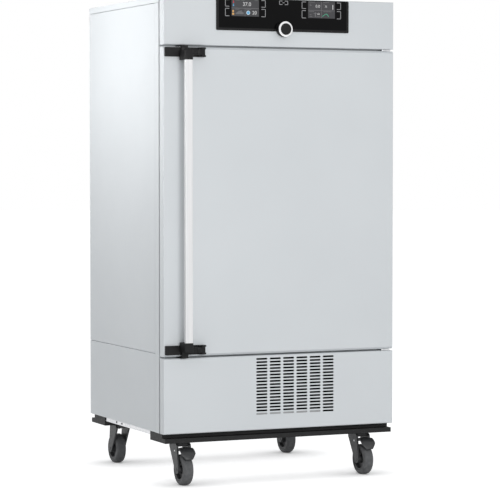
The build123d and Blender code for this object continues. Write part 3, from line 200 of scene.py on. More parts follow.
def clouds(material, size, detail=2.0, stretch=(1, 1, 1)):
    """Soft noise with patches of about that size in metres."""
    tree = material.node_tree
    noise = tree.nodes.new("ShaderNodeTexNoise")
    noise.inputs["Scale"].default_value = 1 / size
    noise.inputs["Detail"].default_value = detail
    tree.links.new(on_piece(material, stretch), noise.inputs["Vector"])
    return noise.outputs["Fac"]


def cells(material, size):
    """A pattern of small cells of about that size in metres."""
    tree = material.node_tree
    pattern = tree.nodes.new("ShaderNodeTexVoronoi")
    pattern.inputs["Scale"].default_value = 1 / size
    tree.links.new(on_piece(material), pattern.inputs["Vector"])
    return pattern.outputs["Distance"]


def colour_by(material, field, dark, light, low=0.3, high=0.7):
    """The base colour goes from dark to light over the field."""
    tree = material.node_tree
    ramp = tree.nodes.new("ShaderNodeValToRGB")
    ramp.color_ramp.elements[0].position = low
    ramp.color_ramp.elements[0].color = (*dark, 1.0)
    ramp.color_ramp.elements[1].position = high
    ramp.color_ramp.elements[1].color = (*light, 1.0)
    tree.links.new(field, ramp.inputs["Fac"])
    tree.links.new(ramp.outputs["Color"], tree.nodes["Principled BSDF"].inputs["Base Color"])


def roughness_by(material, field, low, high):
    """The roughness goes from low to high over the field."""
    tree = material.node_tree
    span = tree.nodes.new("ShaderNodeMapRange")
    span.inputs["From Min"].default_value = 0.3
    span.inputs["From Max"].default_value = 0.7
    span.inputs["To Min"].default_value = low
    span.inputs["To Max"].default_value = high
    tree.links.new(field, span.inputs["Value"])
    tree.links.new(span.outputs["Result"], tree.nodes["Principled BSDF"].inputs["Roughness"])


def raise_by(material, field, height, below=None):
    """A relief of that height in metres; below is a coarser relief that it lies on."""
    tree = material.node_tree
    bump = tree.nodes.new("ShaderNodeBump")
    bump.inputs["Strength"].default_value = 1.0
    bump.inputs["Distance"].default_value = height
    tree.links.new(field, bump.inputs["Height"])
    if below is not None:
        tree.links.new(below, bump.inputs["Normal"])
    tree.links.new(bump.outputs["Normal"], tree.nodes["Principled BSDF"].inputs["Normal"])
    return bump.outputs["Normal"]


def satin_paint(name, dark, light):
    """Light grey powder coat: a fine orange-peel skin with an even satin sheen."""
    paint = new_finish(name, IOR=1.5, Coat_Weight=0.08, Coat_Roughness=0.35)
    colour_by(paint, clouds(paint, 0.4), dark, light)
    roughness_by(paint, clouds(paint, 0.05), 0.42, 0.5)
    broad = raise_by(paint, clouds(paint, 0.004), 0.00002)
    raise_by(paint, clouds(paint, 0.0009), 0.00001, broad)
    return paint


def textured_black_coat():
    """Black powder coat with a fine wrinkled skin."""
    coat = new_finish("textured_black_coat", IOR=1.5, Specular_IOR_Level=0.25)
    colour_by(coat, clouds(coat, 0.03), (0.008, 0.008, 0.0084), (0.013, 0.013, 0.0134))
    roughness_by(coat, clouds(coat, 0.006), 0.5, 0.62)
    raise_by(coat, clouds(coat, 0.0016, 4.0), 0.00006)
    return coat


def zinc_plate():
    """Zinc-plated steel with a soft spangle."""
    plate = new_finish("zinc_plate", Metallic=1.0)
    colour_by(plate, cells(plate, 0.012), (0.56, 0.57, 0.59), (0.7, 0.7, 0.71), 0.1, 0.8)
    roughness_by(plate, clouds(plate, 0.02), 0.3, 0.42)
    raise_by(plate, clouds(plate, 0.003), 0.00002)
    return plate


def moulded_black(name, dark, light, shine):
    """Moulded plastic with a fine spark-eroded grain and that much shine."""
    plastic = new_finish(name, IOR=1.48, Specular_IOR_Level=shine)
    colour_by(plastic, clouds(plastic, 0.02), dark, light)
    roughness_by(plastic, clouds(plastic, 0.01), 0.4, 0.52)
    raise_by(plastic, cells(plastic, 0.0007), 0.00003)
    return plastic


def tyre_rubber():
    """Grey non-marking rubber, a little dusty."""
    rubber = new_finish("tyre_rubber", IOR=1.45)
    colour_by(rubber, clouds(rubber, 0.012, 4.0), (0.085, 0.087, 0.09), (0.125, 0.127, 0.13))
    roughness_by(rubber, clouds(rubber, 0.008), 0.6, 0.78)
    raise_by(rubber, clouds(rubber, 0.0012, 3.0), 0.00006)
    return rubber


def panel_gloss():
    """Near-black glossy window of the control panel."""
    gloss = new_finish("panel_gloss", IOR=1.45, Specular_IOR_Level=0.1)
    colour_by(gloss, clouds(gloss, 0.2), (0.0025, 0.0025, 0.0028), (0.004, 0.004, 0.0044))
    roughness_by(gloss, clouds(gloss, 0.03), 0.04, 0.09)
    return gloss


def polished_ring():
    """Turned bright metal with faint marks of the tool."""
    metal = new_finish("polished_ring", Metallic=1.0)
    colour_by(metal, clouds(metal, 0.004), (0.84, 0.84, 0.85), (0.93, 0.93, 0.94))
    roughness_by(metal, clouds(metal, 0.002, 2.0, (1, 4, 1)), 0.1, 0.2)
    raise_by(metal, clouds(metal, 0.0012, 1.0, (1, 6, 1)), 0.000006)
    return metal


def satin_bar():
    """Anodised aluminium bar, drawn along its length."""
    metal = new_finish("satin_bar", Metallic=0.35)
    colour_by(metal, clouds(metal, 0.003, 3.0, (1, 1, 0.01)), (0.66, 0.66, 0.665), (0.74, 0.74, 0.745))
    roughness_by(metal, clouds(metal, 0.001, 2.0, (1, 1, 0.01)), 0.46, 0.56)
    raise_by(metal, clouds(metal, 0.0006, 2.0, (1, 1, 0.01)), 0.000012)
    return metal


def brushed_stainless(name, stretch):
    """Brushed stainless sheet whose lines run along the least stretched axis."""
    metal = new_finish(name, Metallic=1.0)
    colour_by(metal, clouds(metal, 0.3), (0.58, 0.58, 0.585), (0.68, 0.68, 0.685))
    roughness_by(metal, clouds(metal, 0.002, 3.0, stretch), 0.22, 0.4)
    raise_by(metal, clouds(metal, 0.0008, 3.0, stretch), 0.00002)
    return metal


def seal_rubber():
    """Soft grey rubber of the door's gasket."""
    rubber = new_finish("seal_rubber", IOR=1.45)
    colour_by(rubber, clouds(rubber, 0.05), (0.34, 0.345, 0.35), (0.42, 0.425, 0.43))
    roughness_by(rubber, clouds(rubber, 0.01), 0.55, 0.7)
    raise_by(rubber, clouds(rubber, 0.0015), 0.00003)
    return rubber


def rigid_foam():
    """Cream insulating foam with a skin of small cells."""
    foam = new_finish("rigid_foam", IOR=1.4)
    colour_by(foam, clouds(foam, 0.05, 4.0), (0.72, 0.62, 0.38), (0.85, 0.78, 0.56))
    roughness_by(foam, clouds(foam, 0.01), 0.8, 0.95)
    raise_by(foam, cells(foam, 0.003), 0.0005)
    return foam


def clear_glass():
    """Clear float glass with faint wiping marks."""
    glass = new_finish("clear_glass", IOR=1.5, Transmission_Weight=1.0)
    colour_by(glass, clouds(glass, 0.3), (0.93, 0.965, 0.955), (0.97, 0.985, 0.98))
    roughness_by(glass, clouds(glass, 0.08, 3.0, (1, 1, 0.3)), 0.0, 0.03)
    return glass


def compressor_enamel():
    """Thick gloss black enamel over a pressed shell."""
    enamel = new_finish("compressor_enamel", IOR=1.5, Coat_Weight=0.5, Coat_Roughness=0.12)
    colour_by(enamel, clouds(enamel, 0.05), (0.008, 0.008, 0.0085), (0.014, 0.014, 0.0145))
    roughness_by(enamel, clouds(enamel, 0.01), 0.22, 0.34)
    raise_by(enamel, clouds(enamel, 0.005), 0.00005)
    return enamel


def fin_aluminium():
    """Thin plain aluminium, dulled and a little dusty."""
    metal = new_finish("fin_aluminium", Metallic=1.0)
    colour_by(metal, clouds(metal, 0.02, 3.0), (0.6, 0.61, 0.62), (0.78, 0.79, 0.8))
    roughness_by(metal, clouds(metal, 0.004), 0.32, 0.5)
    raise_by(metal, clouds(metal, 0.002), 0.00003)
    return metal


def drawn_copper():
    """Drawn copper tube with brown patches of oxide."""
    metal = new_finish("drawn_copper", Metallic=1.0)
    colour_by(metal, clouds(metal, 0.02, 4.0), (0.45, 0.2, 0.12), (0.78, 0.42, 0.28), 0.35, 0.6)
    roughness_by(metal, clouds(metal, 0.01), 0.22, 0.4)
    raise_by(metal, clouds(metal, 0.004), 0.00002)
    return metal


def bay_shade_mat_cloth():
    """Black open-cell mat of the grille's filter; its near-black colour also paints the shade of the machine
    bay behind.
    """
    cloth = new_finish("bay_shade_mat_cloth", IOR=1.3, Specular_IOR_Level=0.1)
    # Near-black colour: a black mat, and painted shade of the machine bay behind the grille.
    colour_by(cloth, cells(cloth, 0.0015), (0.0015, 0.0015, 0.0016), (0.004, 0.004, 0.0042), 0.1, 0.8)
    roughness_by(cloth, clouds(cloth, 0.004), 0.85, 0.98)
    raise_by(cloth, cells(cloth, 0.0015), 0.0006)
    return cloth


def lit_print(name, dark, light, glow):
    """A lit part of a screen; a fine grid of cells shades it a little."""
    lit = new_finish(name, IOR=1.45, Specular_IOR_Level=0.2)
    lit.node_tree.nodes["Principled BSDF"].inputs["Emission Color"].default_value = (*light, 1.0)
    lit.node_tree.nodes["Principled BSDF"].inputs["Emission Strength"].default_value = glow
    colour_by(lit, cells(lit, 0.0006), dark, light, 0.1, 0.8)
    roughness_by(lit, clouds(lit, 0.01), 0.3, 0.45)
    return lit


def bright_wire():
    """Electropolished stainless wire."""
    metal = new_finish("bright_wire", Metallic=1.0)
    colour_by(metal, clouds(metal, 0.01), (0.62, 0.62, 0.63), (0.78, 0.78, 0.785))
    roughness_by(metal, clouds(metal, 0.004), 0.16, 0.28)
    raise_by(metal, clouds(metal, 0.0015), 0.00001)
    return metal


finishes = {
    "painted_front": satin_paint("front_paint", (0.70, 0.73, 0.75), (0.73, 0.76, 0.78)),
    "painted_case": satin_paint("case_paint", (0.70, 0.73, 0.75), (0.73, 0.76, 0.78)),
    "black_steel": textured_black_coat(),
    "zinc_steel": zinc_plate(),
    "black_plastic": moulded_black("moulded_black", (0.006, 0.006, 0.0063), (0.01, 0.01, 0.0104), 0.2),
    "castor_plastic": moulded_black("castor_plastic", (0.03, 0.031, 0.033), (0.045, 0.046, 0.048), 0.4),
    "grey_rubber": tyre_rubber(),
    "display_glass": panel_gloss(),
    "bright_ring": polished_ring(),
    "satin_bar": satin_bar(),
    "stainless": brushed_stainless("brushed_stainless", (1, 1, 0.02)),
    "gasket_rubber": seal_rubber(),
    "foam": rigid_foam(),
    "clear_glass": clear_glass(),
    "compressor_black": compressor_enamel(),
    "aluminium_fins": fin_aluminium(),
    "copper_pipe": drawn_copper(),
}

castor_plastic = finishes["castor_plastic"]
polished = finishes["bright_ring"]
zinc = finishes["zinc_steel"]
wire_steel = bright_wire()
bay_shade_cloth = bay_shade_mat_cloth()
screen_field = lit_print("screen_field", (0.010, 0.010, 0.011), (0.016, 0.016, 0.017), 3.2)
screen_grey = lit_print("screen_grey", (0.05, 0.05, 0.052), (0.06, 0.06, 0.062), 2.6)
screen_white = lit_print("screen_white", (0.20, 0.20, 0.20), (0.26, 0.26, 0.26), 1.6)
touch_grey = lit_print("touch_grey", (0.20, 0.20, 0.205), (0.24, 0.24, 0.245), 0.5)
screen_colours = {
    "red": lit_print("screen_red", (0.20, 0.02, 0.03), (0.30, 0.03, 0.05), 1.2),
    "blue": lit_print("screen_blue", (0.05, 0.14, 0.22), (0.07, 0.20, 0.32), 1.2),
    "orange": lit_print("screen_orange", (0.26, 0.15, 0.05), (0.36, 0.21, 0.08), 1.0),
    "pale": lit_print("screen_pale", (0.25, 0.30, 0.34), (0.34, 0.42, 0.48), 1.0),
    "green": lit_print("screen_green", (0.03, 0.22, 0.12), (0.05, 0.34, 0.20), 1.2),
}


def dress(piece, finish):
    """Give a piece one finish all over."""
    if not piece.data.materials:
        piece.data.materials.append(finish)
    for place in piece.material_slots:
        place.material = finish


for part in frame["record"]["subparts"]:
    dress(nodes[part["node"]], finishes[part["material_slot"]])


# Making of new pieces
def finish_piece(shape, name, body, slot, finish=None, sharp=35.0):
    """Turn a bmesh into a piece that rides on a body and takes its slot's finish."""
    mesh = bpy.data.meshes.new(name)
    shape.to_mesh(mesh)
    shape.free()
    mesh.shade_smooth()
    mesh.set_sharp_from_angle(angle=math.radians(sharp))
    mesh.materials.append(finish or finishes[slot])
    made = bpy.data.objects.new(name, mesh)
    bpy.context.scene.collection.objects.link(made)
    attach(made, body)
    return made


def add_block(shape, low, high, edge=0.0, steps=2):
    """Add a box between two corners, its edges rounded by edge."""
    verts = bmesh.ops.create_cube(shape, size=1.0)["verts"]
    bmesh.ops.scale(shape, vec=[high[i] - low[i] for i in range(3)], verts=verts)
    bmesh.ops.translate(shape, vec=[(low[i] + high[i]) / 2 for i in range(3)], verts=verts)
    if edge:
        edges = list({edge_line for vert in verts for edge_line in vert.link_edges})
        bmesh.ops.bevel(
            shape, geom=edges, offset=edge, offset_type="OFFSET", segments=steps,
            affect="EDGES", profile=0.5, material=-1,
        )


def add_turned(shape, outline, place, axis, steps=48, rounds=()):
    """Add a turned solid: outline is its (radius, height) points, standing at place along axis.
    rounds gives (point number, radius) for the corners that are rounded."""
    turned = bmesh.new()
    points = [turned.verts.new((radius, 0, height)) for radius, height in outline]
    for first, second in zip(points, points[1:]):
        turned.edges.new((first, second))
    for number, radius in rounds:
        bmesh.ops.bevel(
            turned, geom=[points[number]], offset=radius, offset_type="OFFSET", segments=6,
            affect="VERTICES", profile=0.5, material=-1,
        )
    bmesh.ops.spin(
        turned, geom=turned.verts[:] + turned.edges[:], cent=(0, 0, 0), axis=(0, 0, 1),
        angle=math.tau, steps=steps, use_merge=True,
    )
    bmesh.ops.remove_doubles(turned, verts=turned.verts, dist=0.000005)
    bmesh.ops.recalc_face_normals(turned, faces=turned.faces)
    turn = Vector((0, 0, 1)).rotation_difference(Vector(axis)).to_matrix().to_4x4()
    bmesh.ops.transform(turned, matrix=Matrix.Translation(place) @ turn, verts=turned.verts)
    join_into(shape, turned)


def join_into(shape, extra):
    """Move everything of one bmesh into another."""
    passing = bpy.data.meshes.new("passing")
    extra.to_mesh(passing)
    extra.free()
    shape.from_mesh(passing)
    bpy.data.meshes.remove(passing)


def add_pin(shape, place, axis, radius, length, edge=0.0003, steps=24):
    """Add a round pin or disc that stands on place along axis, its rims rounded."""
    outline = (
        (0, 0), (radius - edge, 0), (radius, edge),
        (radius, length - edge), (radius - edge, length), (0, length),
    )
    add_turned(shape, outline, place, axis, steps)


def add_rod(shape, start, end, radius, sides=10):
    """Add a plain round rod between two points."""
    start, end = Vector(start), Vector(end)
    along = end - start
    turn = Vector((0, 0, 1)).rotation_difference(along).to_matrix().to_4x4()
    bmesh.ops.create_cone(
        shape, cap_ends=True, segments=sides, radius1=radius, radius2=radius, depth=along.length,
        matrix=Matrix.Translation((start + end) / 2) @ turn,
    )


def add_tube(shape, points, radius, closed=False, sides=4):
    """Add a tube along a line of points."""
    line = bpy.data.curves.new("line", "CURVE")
    line.dimensions = "3D"
    line.bevel_depth = radius
    line.bevel_resolution = sides
    line.use_fill_caps = not closed
    spline = line.splines.new("POLY")
    spline.points.add(len(points) - 1)
    for point, place in zip(spline.points, points):
        point.co = (*place, 1.0)
    spline.use_cyclic_u = closed
    holder = bpy.data.objects.new("line", line)
    mesh = bpy.data.meshes.new_from_object(holder)
    shape.from_mesh(mesh)
    bpy.data.meshes.remove(mesh)
    bpy.data.objects.remove(holder)
    bpy.data.curves.remove(line)


def add_screw(shape, place, axis, radius):
    """Add a domed cross-recess screw head that stands on place along axis."""
    head = bmesh.new()
    height = 0.45 * radius
    outline = ((0, 0), (radius, 0), (radius, 0.3 * height), (0.72 * radius, 0.85 * height), (0, height))
    add_turned(head, outline, (0, 0, 0), (0, 0, 1), 20)
    sunk = bmesh.new()
    for length, width in ((1.1, 0.26), (0.26, 1.1)):
        half_x, half_y = length * radius / 2, width * radius / 2
        add_block(sunk, (-half_x, -half_y, 0.9 * height), (half_x, half_y, 1.04 * height))
    join_into(head, sunk)
    turn = Vector((0, 0, 1)).rotation_difference(Vector(axis)).to_matrix().to_4x4()
    bmesh.ops.transform(head, matrix=Matrix.Translation(place) @ turn, verts=head.verts)
    join_into(shape, head)


def soften(node, edge, slot, sharp=30.0, steps=2, finish=None):
    """Stand in for a hard-edged node with a copy whose edges are rounded by edge."""
    shape = bmesh.new()
    shape.from_mesh(nodes[node].data)
    bmesh.ops.remove_doubles(shape, verts=shape.verts, dist=0.000005)
    bmesh.ops.dissolve_limit(shape, angle_limit=math.radians(1.0), verts=shape.verts, edges=shape.edges)
    body = nodes[node]["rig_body"]
    made = finish_piece(shape, node + "_soft", body, slot, finish, sharp)
    rounding = made.modifiers.new("edges", "BEVEL")
    rounding.width = edge
    rounding.segments = steps
    rounding.limit_method = "ANGLE"
    rounding.angle_limit = math.radians(sharp)
    rounding.harden_normals = True
    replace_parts(made, node)
    return made


# Castors: collars, forks and toe pedals, each in the place of its plain solid
castor_half = 0.325
front_pivot_y = -0.2405
rear_pivot_y = 0.2935
castor_trail = 0.037
axle_height = 0.05
fork_top = 0.1345
pedal_radius = 0.066
pedal_rise = 0.010
pedal_crown = 0.0022
pedal_wall = 0.0045
pedal_rim = 0.0011
pedal_widens_from = 0.34
pedal_widens_over = 0.08
pin_path = 0.063
pin_radius = 0.0029
pin_length = 0.0504
pedal_from = 105.0
pedal_to = 36.0
pedal_narrow = 0.0186
pedal_wide = 0.0248
pedal_nose = 0.034

collars = bmesh.new()
for side in (-1, 1):
    for pivot_y in (front_pivot_y, rear_pivot_y):
        outline = (
            (0.0161, 0), (0.0172, 0), (0.0172, 0.0018), (0.0167, 0.0023), (0.0167, 0.0043), (0.0172, 0.0048),
            (0.0172, 0.0067), (0.0161, 0.0067), (0.0161, 0),
        )
        add_turned(collars, outline, (side * castor_half, pivot_y, fork_top + 0.0004), (0, 0, 1))
finish_piece(collars, "castor_collars", "cabinet", "black_plastic")

for corner in ("front_left", "front_right", "rear_left", "rear_right"):
    soften(corner + "_castor_fork", 0.0014, "castor_plastic", steps=3)


def pedal_half_width(forward):
    """Half the pedal's width, that far ahead of the axle: round at its nose."""
    ahead = forward - (pedal_radius * math.cos(math.radians(pedal_to)) - pedal_nose)
    if ahead <= 0:
        return pedal_wide
    return min(pedal_wide, math.sqrt(max(pedal_nose ** 2 - ahead ** 2, 0.0)) + 0.0005)


def toe_pedal(corner, side):
    """A crowned toe pedal, narrow between the fork's legs and round at its nose."""
    x = side * castor_half
    axle_y = front_pivot_y - castor_trail
    shape = bmesh.new()
    bmesh.ops.create_grid(shape, x_segments=28, y_segments=12, size=0.5)
    for vert in shape.verts:
        along, across = vert.co.x + 0.5, 2 * vert.co.y
        angle = math.radians(pedal_from + (pedal_to - pedal_from) * along)
        radius = pedal_radius + pedal_rise * math.sin(math.pi * along) - pedal_crown * across ** 2
        forward, rise = radius * math.cos(angle), radius * math.sin(angle)
        widening = min(max((along - pedal_widens_from) / pedal_widens_over, 0.0), 1.0)
        half = pedal_narrow + (pedal_half_width(forward) - pedal_narrow) * widening
        half = min(half, pedal_half_width(forward))
        vert.co = (x + across * half, axle_y - forward, axle_height + rise)
    bmesh.ops.recalc_face_normals(shape, faces=shape.faces)
    upward = sum((face.normal.z for face in shape.faces))
    if upward < 0:
        bmesh.ops.reverse_faces(shape, faces=shape.faces)
    pedal = finish_piece(
        shape, corner + "_toe_pedal", corner + "_brake", "black_plastic", castor_plastic, 40.0,
    )
    wall = pedal.modifiers.new("wall", "SOLIDIFY")
    wall.thickness = pedal_wall
    wall.offset = -1.0
    rim = pedal.modifiers.new("rim", "BEVEL")
    rim.width = pedal_rim
    rim.segments = 3
    rim.limit_method = "ANGLE"
    rim.angle_limit = math.radians(40.0)
    pin_angle = math.radians(pedal_from)
    pin_y = axle_y - pin_path * math.cos(pin_angle)
    pin_z = axle_height + pin_path * math.sin(pin_angle)
    pin = bmesh.new()
    add_pin(pin, (x - pin_length / 2, pin_y, pin_z), (1, 0, 0), pin_radius, pin_length)
    finish_piece(pin, corner + "_pedal_pin", corner + "_brake", "zinc_steel", zinc)
    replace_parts(pedal, corner + "_brake_pedal")


toe_pedal("front_left", -1)
toe_pedal("front_right", 1)

# Door handle: brackets and levers with moulded edges, covers on the levers, and the latch rollers
for node in ("handle_brackets", "handle_arms"):
    soften(node, 0.0007, "black_plastic")
lever_front = -0.3495
cover_middle = -0.2961
lever_covers = bmesh.new()
for middle in (0.442, 1.395):
    for half_width, half_height, stand, edge in (
        (0.0096, 0.0084, 0.0016, 0.0006),
        (0.0066, 0.0056, 0.0022, 0.0005),
    ):
        low = (cover_middle - half_width, lever_front - stand, middle - half_height)
        high = (cover_middle + half_width, lever_front, middle + half_height)
        add_block(lever_covers, low, high, edge)
finish_piece(lever_covers, "lever_covers", "door_handle", "black_plastic")
set_screw = bmesh.new()
add_pin(set_screw, (-0.2965, lever_front - 0.0020, 0.442), (0, -1, 0), 0.0042, 0.0012)
add_block(set_screw, (-0.3003, lever_front - 0.0034, 0.4414), (-0.2927, lever_front - 0.0030, 0.4426))
finish_piece(set_screw, "lever_screw", "door_handle", "black_plastic")

for name, body, x, y in (
    ("latch_rollers", "door_handle", -0.3440, -0.3045),
    ("striker_rollers", "cabinet", -0.3225, -0.3000),
):
    rollers = bmesh.new()
    for low in (0.4152, 1.4124):
        outline = ((0, 0), (0.0040, 0), (0.0048, 0.0008), (0.0048, 0.0046), (0.0040, 0.0054), (0, 0.0054))
        add_turned(rollers, outline, (x, y, low), (0, 0, 1), 32)
    finish_piece(rollers, name, body, "bright_ring", polished)

# Base: beams and tray with softened folds, and the tray's screws
for node in ("front_beam", "rear_beam"):
    soften(node, 0.0008, "black_steel")
tray_half = 0.404
tray_screw_height = 0.1653
tray_screw_radius = 0.0036
tray_screws = bmesh.new()
for side in (-1, 1):
    for y in (0.0737, 0.1230):
        add_screw(tray_screws, (side * tray_half, y, tray_screw_height), (side, 0, 0), tray_screw_radius)
finish_piece(tray_screws, "tray_screws", "cabinet", "black_steel")

# Filter mat behind the grille, whose near-black cloth also paints the machine bay's shade, with its holder
# under it
mat_low = (-0.096, -0.3222, 0.2185)
mat_high = (0.201, -0.3172, 0.4105)
mat = bmesh.new()
pleats = 50
bmesh.ops.create_grid(mat, x_segments=2 * pleats, y_segments=1, size=0.5)
for vert in mat.verts:
    fold = round((vert.co.x + 0.5) * 2 * pleats) % 2
    vert.co = (
        mat_low[0] + (vert.co.x + 0.5) * (mat_high[0] - mat_low[0]),
        mat_low[1] + 0.001 + 0.003 * fold,
        mat_low[2] + (vert.co.y + 0.5) * (mat_high[2] - mat_low[2]),
    )
bay_shade_mat = finish_piece(mat, "bay_shade_mat", "cabinet", "black_plastic", bay_shade_cloth)
cloth = bay_shade_mat.modifiers.new("cloth", "SOLIDIFY")
cloth.thickness = 0.0008
cloth.offset = 0.0
holder = bmesh.new()
add_block(holder, (-0.098, -0.3222, 0.2170), (0.1485, -0.3214, 0.2300), 0.0002)
add_block(holder, (-0.098, -0.3222, 0.2170), (0.1485, -0.3100, 0.2178), 0.0002)
finish_piece(holder, "filter_holder", "cabinet", "gasket_rubber")

# Control knob: a black sleeve round the bright ring's side, as the photo shows it
knob_x, knob_z = 0.006, 1.475
sleeve = bmesh.new()
sleeve_outline = ((0.0249, 0), (0.0254, 0.0004), (0.0254, 0.0112), (0.0249, 0.0117), (0.0249, 0))
add_turned(sleeve, sleeve_outline, (knob_x, -0.3370, knob_z), (0, -1, 0), 96)
finish_piece(sleeve, "knob_sleeve", "control_knob", "black_plastic")

# Control panel: the window over the bezel, with two lit screens and their touch marks
window_y = -0.3289
glass_middle_y = -0.3273
glass_middle_z = 1.55
window_rise = 0.0064
window = bmesh.new()
window.from_mesh(nodes["display_glass"].data)
bmesh.ops.remove_doubles(window, verts=window.verts, dist=0.000005)
for vert in window.verts:
    if vert.co.y < glass_middle_y:
        vert.co.y = window_y
    if vert.co.z > glass_middle_z:
        vert.co.z += window_rise
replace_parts(finish_piece(window, "panel_window", "cabinet", "display_glass", sharp=25.0), "display_glass")
print_step = 0.00012


def add_print(shape, left, bottom, right, top, layer=1):
    """Add a thin printed bar on the window; a higher layer lies on a lower one."""
    front = window_y - layer * print_step
    add_block(shape, (left, front, bottom), (right, front + print_step, top))


def add_number(shape, text, x, z, height, layer=2):
    """Add a plain number, centred on x and z."""
    letters = bpy.data.curves.new("number", "FONT")
    letters.body = text
    letters.size = 1.4 * height
    letters.align_x = "CENTER"
    letters.align_y = "CENTER"
    letters.extrude = print_step / 2
    holder_object = bpy.data.objects.new("number", letters)
    mesh = bpy.data.meshes.new_from_object(holder_object)
    middle_y = window_y - (layer - 0.5) * print_step
    mesh.transform(Matrix.Translation((x, middle_y, z)) @ Matrix.Rotation(math.pi / 2, 4, "X"))
    shape.from_mesh(mesh)
    bpy.data.meshes.remove(mesh)
    bpy.data.objects.remove(holder_object)
    bpy.data.curves.remove(letters)


left_screen = (-0.1772, 1.5140, -0.0808, 1.5680)
right_screen = (0.0955, 1.5146, 0.1928, 1.5690)
screens = bmesh.new()
for left, bottom, right, top in (left_screen, right_screen):
    add_print(screens, left, bottom, right, top)
finish_piece(screens, "screens", "cabinet", "display_glass", screen_field)

lines = bmesh.new()
add_print(lines, -0.1772, 1.5392, -0.0808, 1.5402, 2)
add_print(lines, -0.1304, 1.5140, -0.1295, 1.5392, 2)
add_print(lines, 0.0955, 1.5394, 0.1928, 1.5402, 2)
add_print(lines, 0.1437, 1.5146, 0.1445, 1.5690, 2)
for left, right, z in (
    (-0.1640, -0.1480, 1.5650), (-0.1430, -0.1310, 1.5650), (-0.0960, -0.0840, 1.5650),
    (-0.1270, -0.1080, 1.5360), (-0.1640, -0.1500, 1.5360), (0.0985, 0.1190, 1.5660),
    (0.1500, 0.1720, 1.5660), (0.0985, 0.1160, 1.5360), (0.1500, 0.1800, 1.5360),
    (0.1010, 0.1060, 1.5590), (0.1010, 0.1080, 1.5550), (0.1500, 0.1560, 1.5580),
    (0.1010, 0.1080, 1.5250), (0.1010, 0.1100, 1.5190), (0.1260, 0.1380, 1.5190),
):
    add_print(lines, left, z, right, z + 0.0010, 2)
for step, height in enumerate((0.004, 0.006, 0.009, 0.011, 0.010, 0.012, 0.008, 0.006)):
    add_print(lines, -0.1625 + 0.0035 * step, 1.5205, -0.1603 + 0.0035 * step, 1.5205 + height, 2)
add_print(lines, 0.1205, 1.5190, 0.1225, 1.5330, 2)
add_print(lines, 0.1150, 1.5290, 0.1290, 1.5300, 2)
finish_piece(lines, "screen_lines", "cabinet", "display_glass", screen_grey)

numbers = bmesh.new()
for text, x, z, height in (
    ("37.0", -0.1235, 1.5525, 0.0125), ("20", -0.0965, 1.5255, 0.0115), ("0.0", 0.1305, 1.5530, 0.0095),
    ("60", 0.1330, 1.5280, 0.0060), ("25", 0.1600, 1.5530, 0.0060),
):
    add_number(numbers, text, x, z, height)
add_print(numbers, 0.1840, 1.5440, 0.1866, 1.5590, 2)
finish_piece(numbers, "screen_numbers", "cabinet", "display_glass", screen_white)


def add_dot(shape, x, z, radius, layer=2):
    """Add a round printed dot."""
    front = window_y - layer * print_step
    outline = ((0, 0), (radius, 0), (radius, print_step), (0, print_step))
    add_turned(shape, outline, (x, front, z), (0, 1, 0), 24)


marks = {colour: bmesh.new() for colour in screen_colours}
add_dot(marks["red"], -0.1706, 1.5582, 0.0022)
add_print(marks["red"], -0.1713, 1.5582, -0.1699, 1.5655, 2)
add_dot(marks["blue"], -0.1706, 1.5480, 0.0022)
add_print(marks["blue"], -0.1713, 1.5480, -0.1699, 1.5545, 2)
add_print(marks["orange"], -0.1755, 1.5180, -0.1685, 1.5240, 2)
add_print(marks["orange"], -0.1745, 1.5262, -0.1695, 1.5335, 2)
add_dot(marks["pale"], -0.1187, 1.5257, 0.0066)
add_dot(marks["blue"], -0.1187, 1.5257, 0.0048, 3)
curve_points = [
    (0.1470 + 0.0225 * step / 14, window_y - 0.0003, 1.5205 + 0.0085 * math.sin(math.pi * (step / 14) ** 1.4))
    for step in range(15)
]
add_tube(marks["green"], curve_points, 0.0006, sides=2)
for colour, shape in marks.items():
    finish_piece(shape, "screen_" + colour, "cabinet", "display_glass", screen_colours[colour])

touch_marks = bmesh.new()
stroke = 0.0019
for left, right, faces in (
    (-0.2000, -0.1855, -1), (-0.0720, -0.0570, 1), (0.0725, 0.0875, -1), (0.2000, 0.2148, 1),
):
    for bottom, top in ((1.5440, 1.5672), (1.5132, 1.5390)):
        post = left if faces < 0 else right - stroke
        add_print(touch_marks, post, bottom, post + stroke, top)
        add_print(touch_marks, left, bottom, right, bottom + stroke)
        add_print(touch_marks, left, top - stroke, right, top)
for left, right, faces in ((-0.0086, 0.0030, -1), (0.0115, 0.0231, 1)):
    post = left if faces < 0 else right - stroke
    add_print(touch_marks, post, 1.5545, post + stroke, 1.5680)
    add_print(touch_marks, left, 1.5545, right, 1.5545 + stroke)
    add_print(touch_marks, left, 1.5680 - stroke, right, 1.5680)
add_print(touch_marks, 0.0035, 1.5603, 0.0110, 1.5622)
finish_piece(touch_marks, "touch_marks", "cabinet", "display_glass", touch_grey)


# Inside: wire shelves, the soft gasket, the probe and the baffle's screws
def rounded_loop(low, high, corner, z, steps=6):
    """Points round a rectangle with round corners, in the order of travel."""
    points = []
    for centre_x, centre_y, start in (
        (high[0] - corner, high[1] - corner, 0), (low[0] + corner, high[1] - corner, 90),
        (low[0] + corner, low[1] + corner, 180), (high[0] - corner, low[1] + corner, 270),
    ):
        for step in range(steps + 1):
            turn = math.radians(start + 90 * step / steps)
            points.append((centre_x + corner * math.cos(turn), centre_y + corner * math.sin(turn), z))
    return points


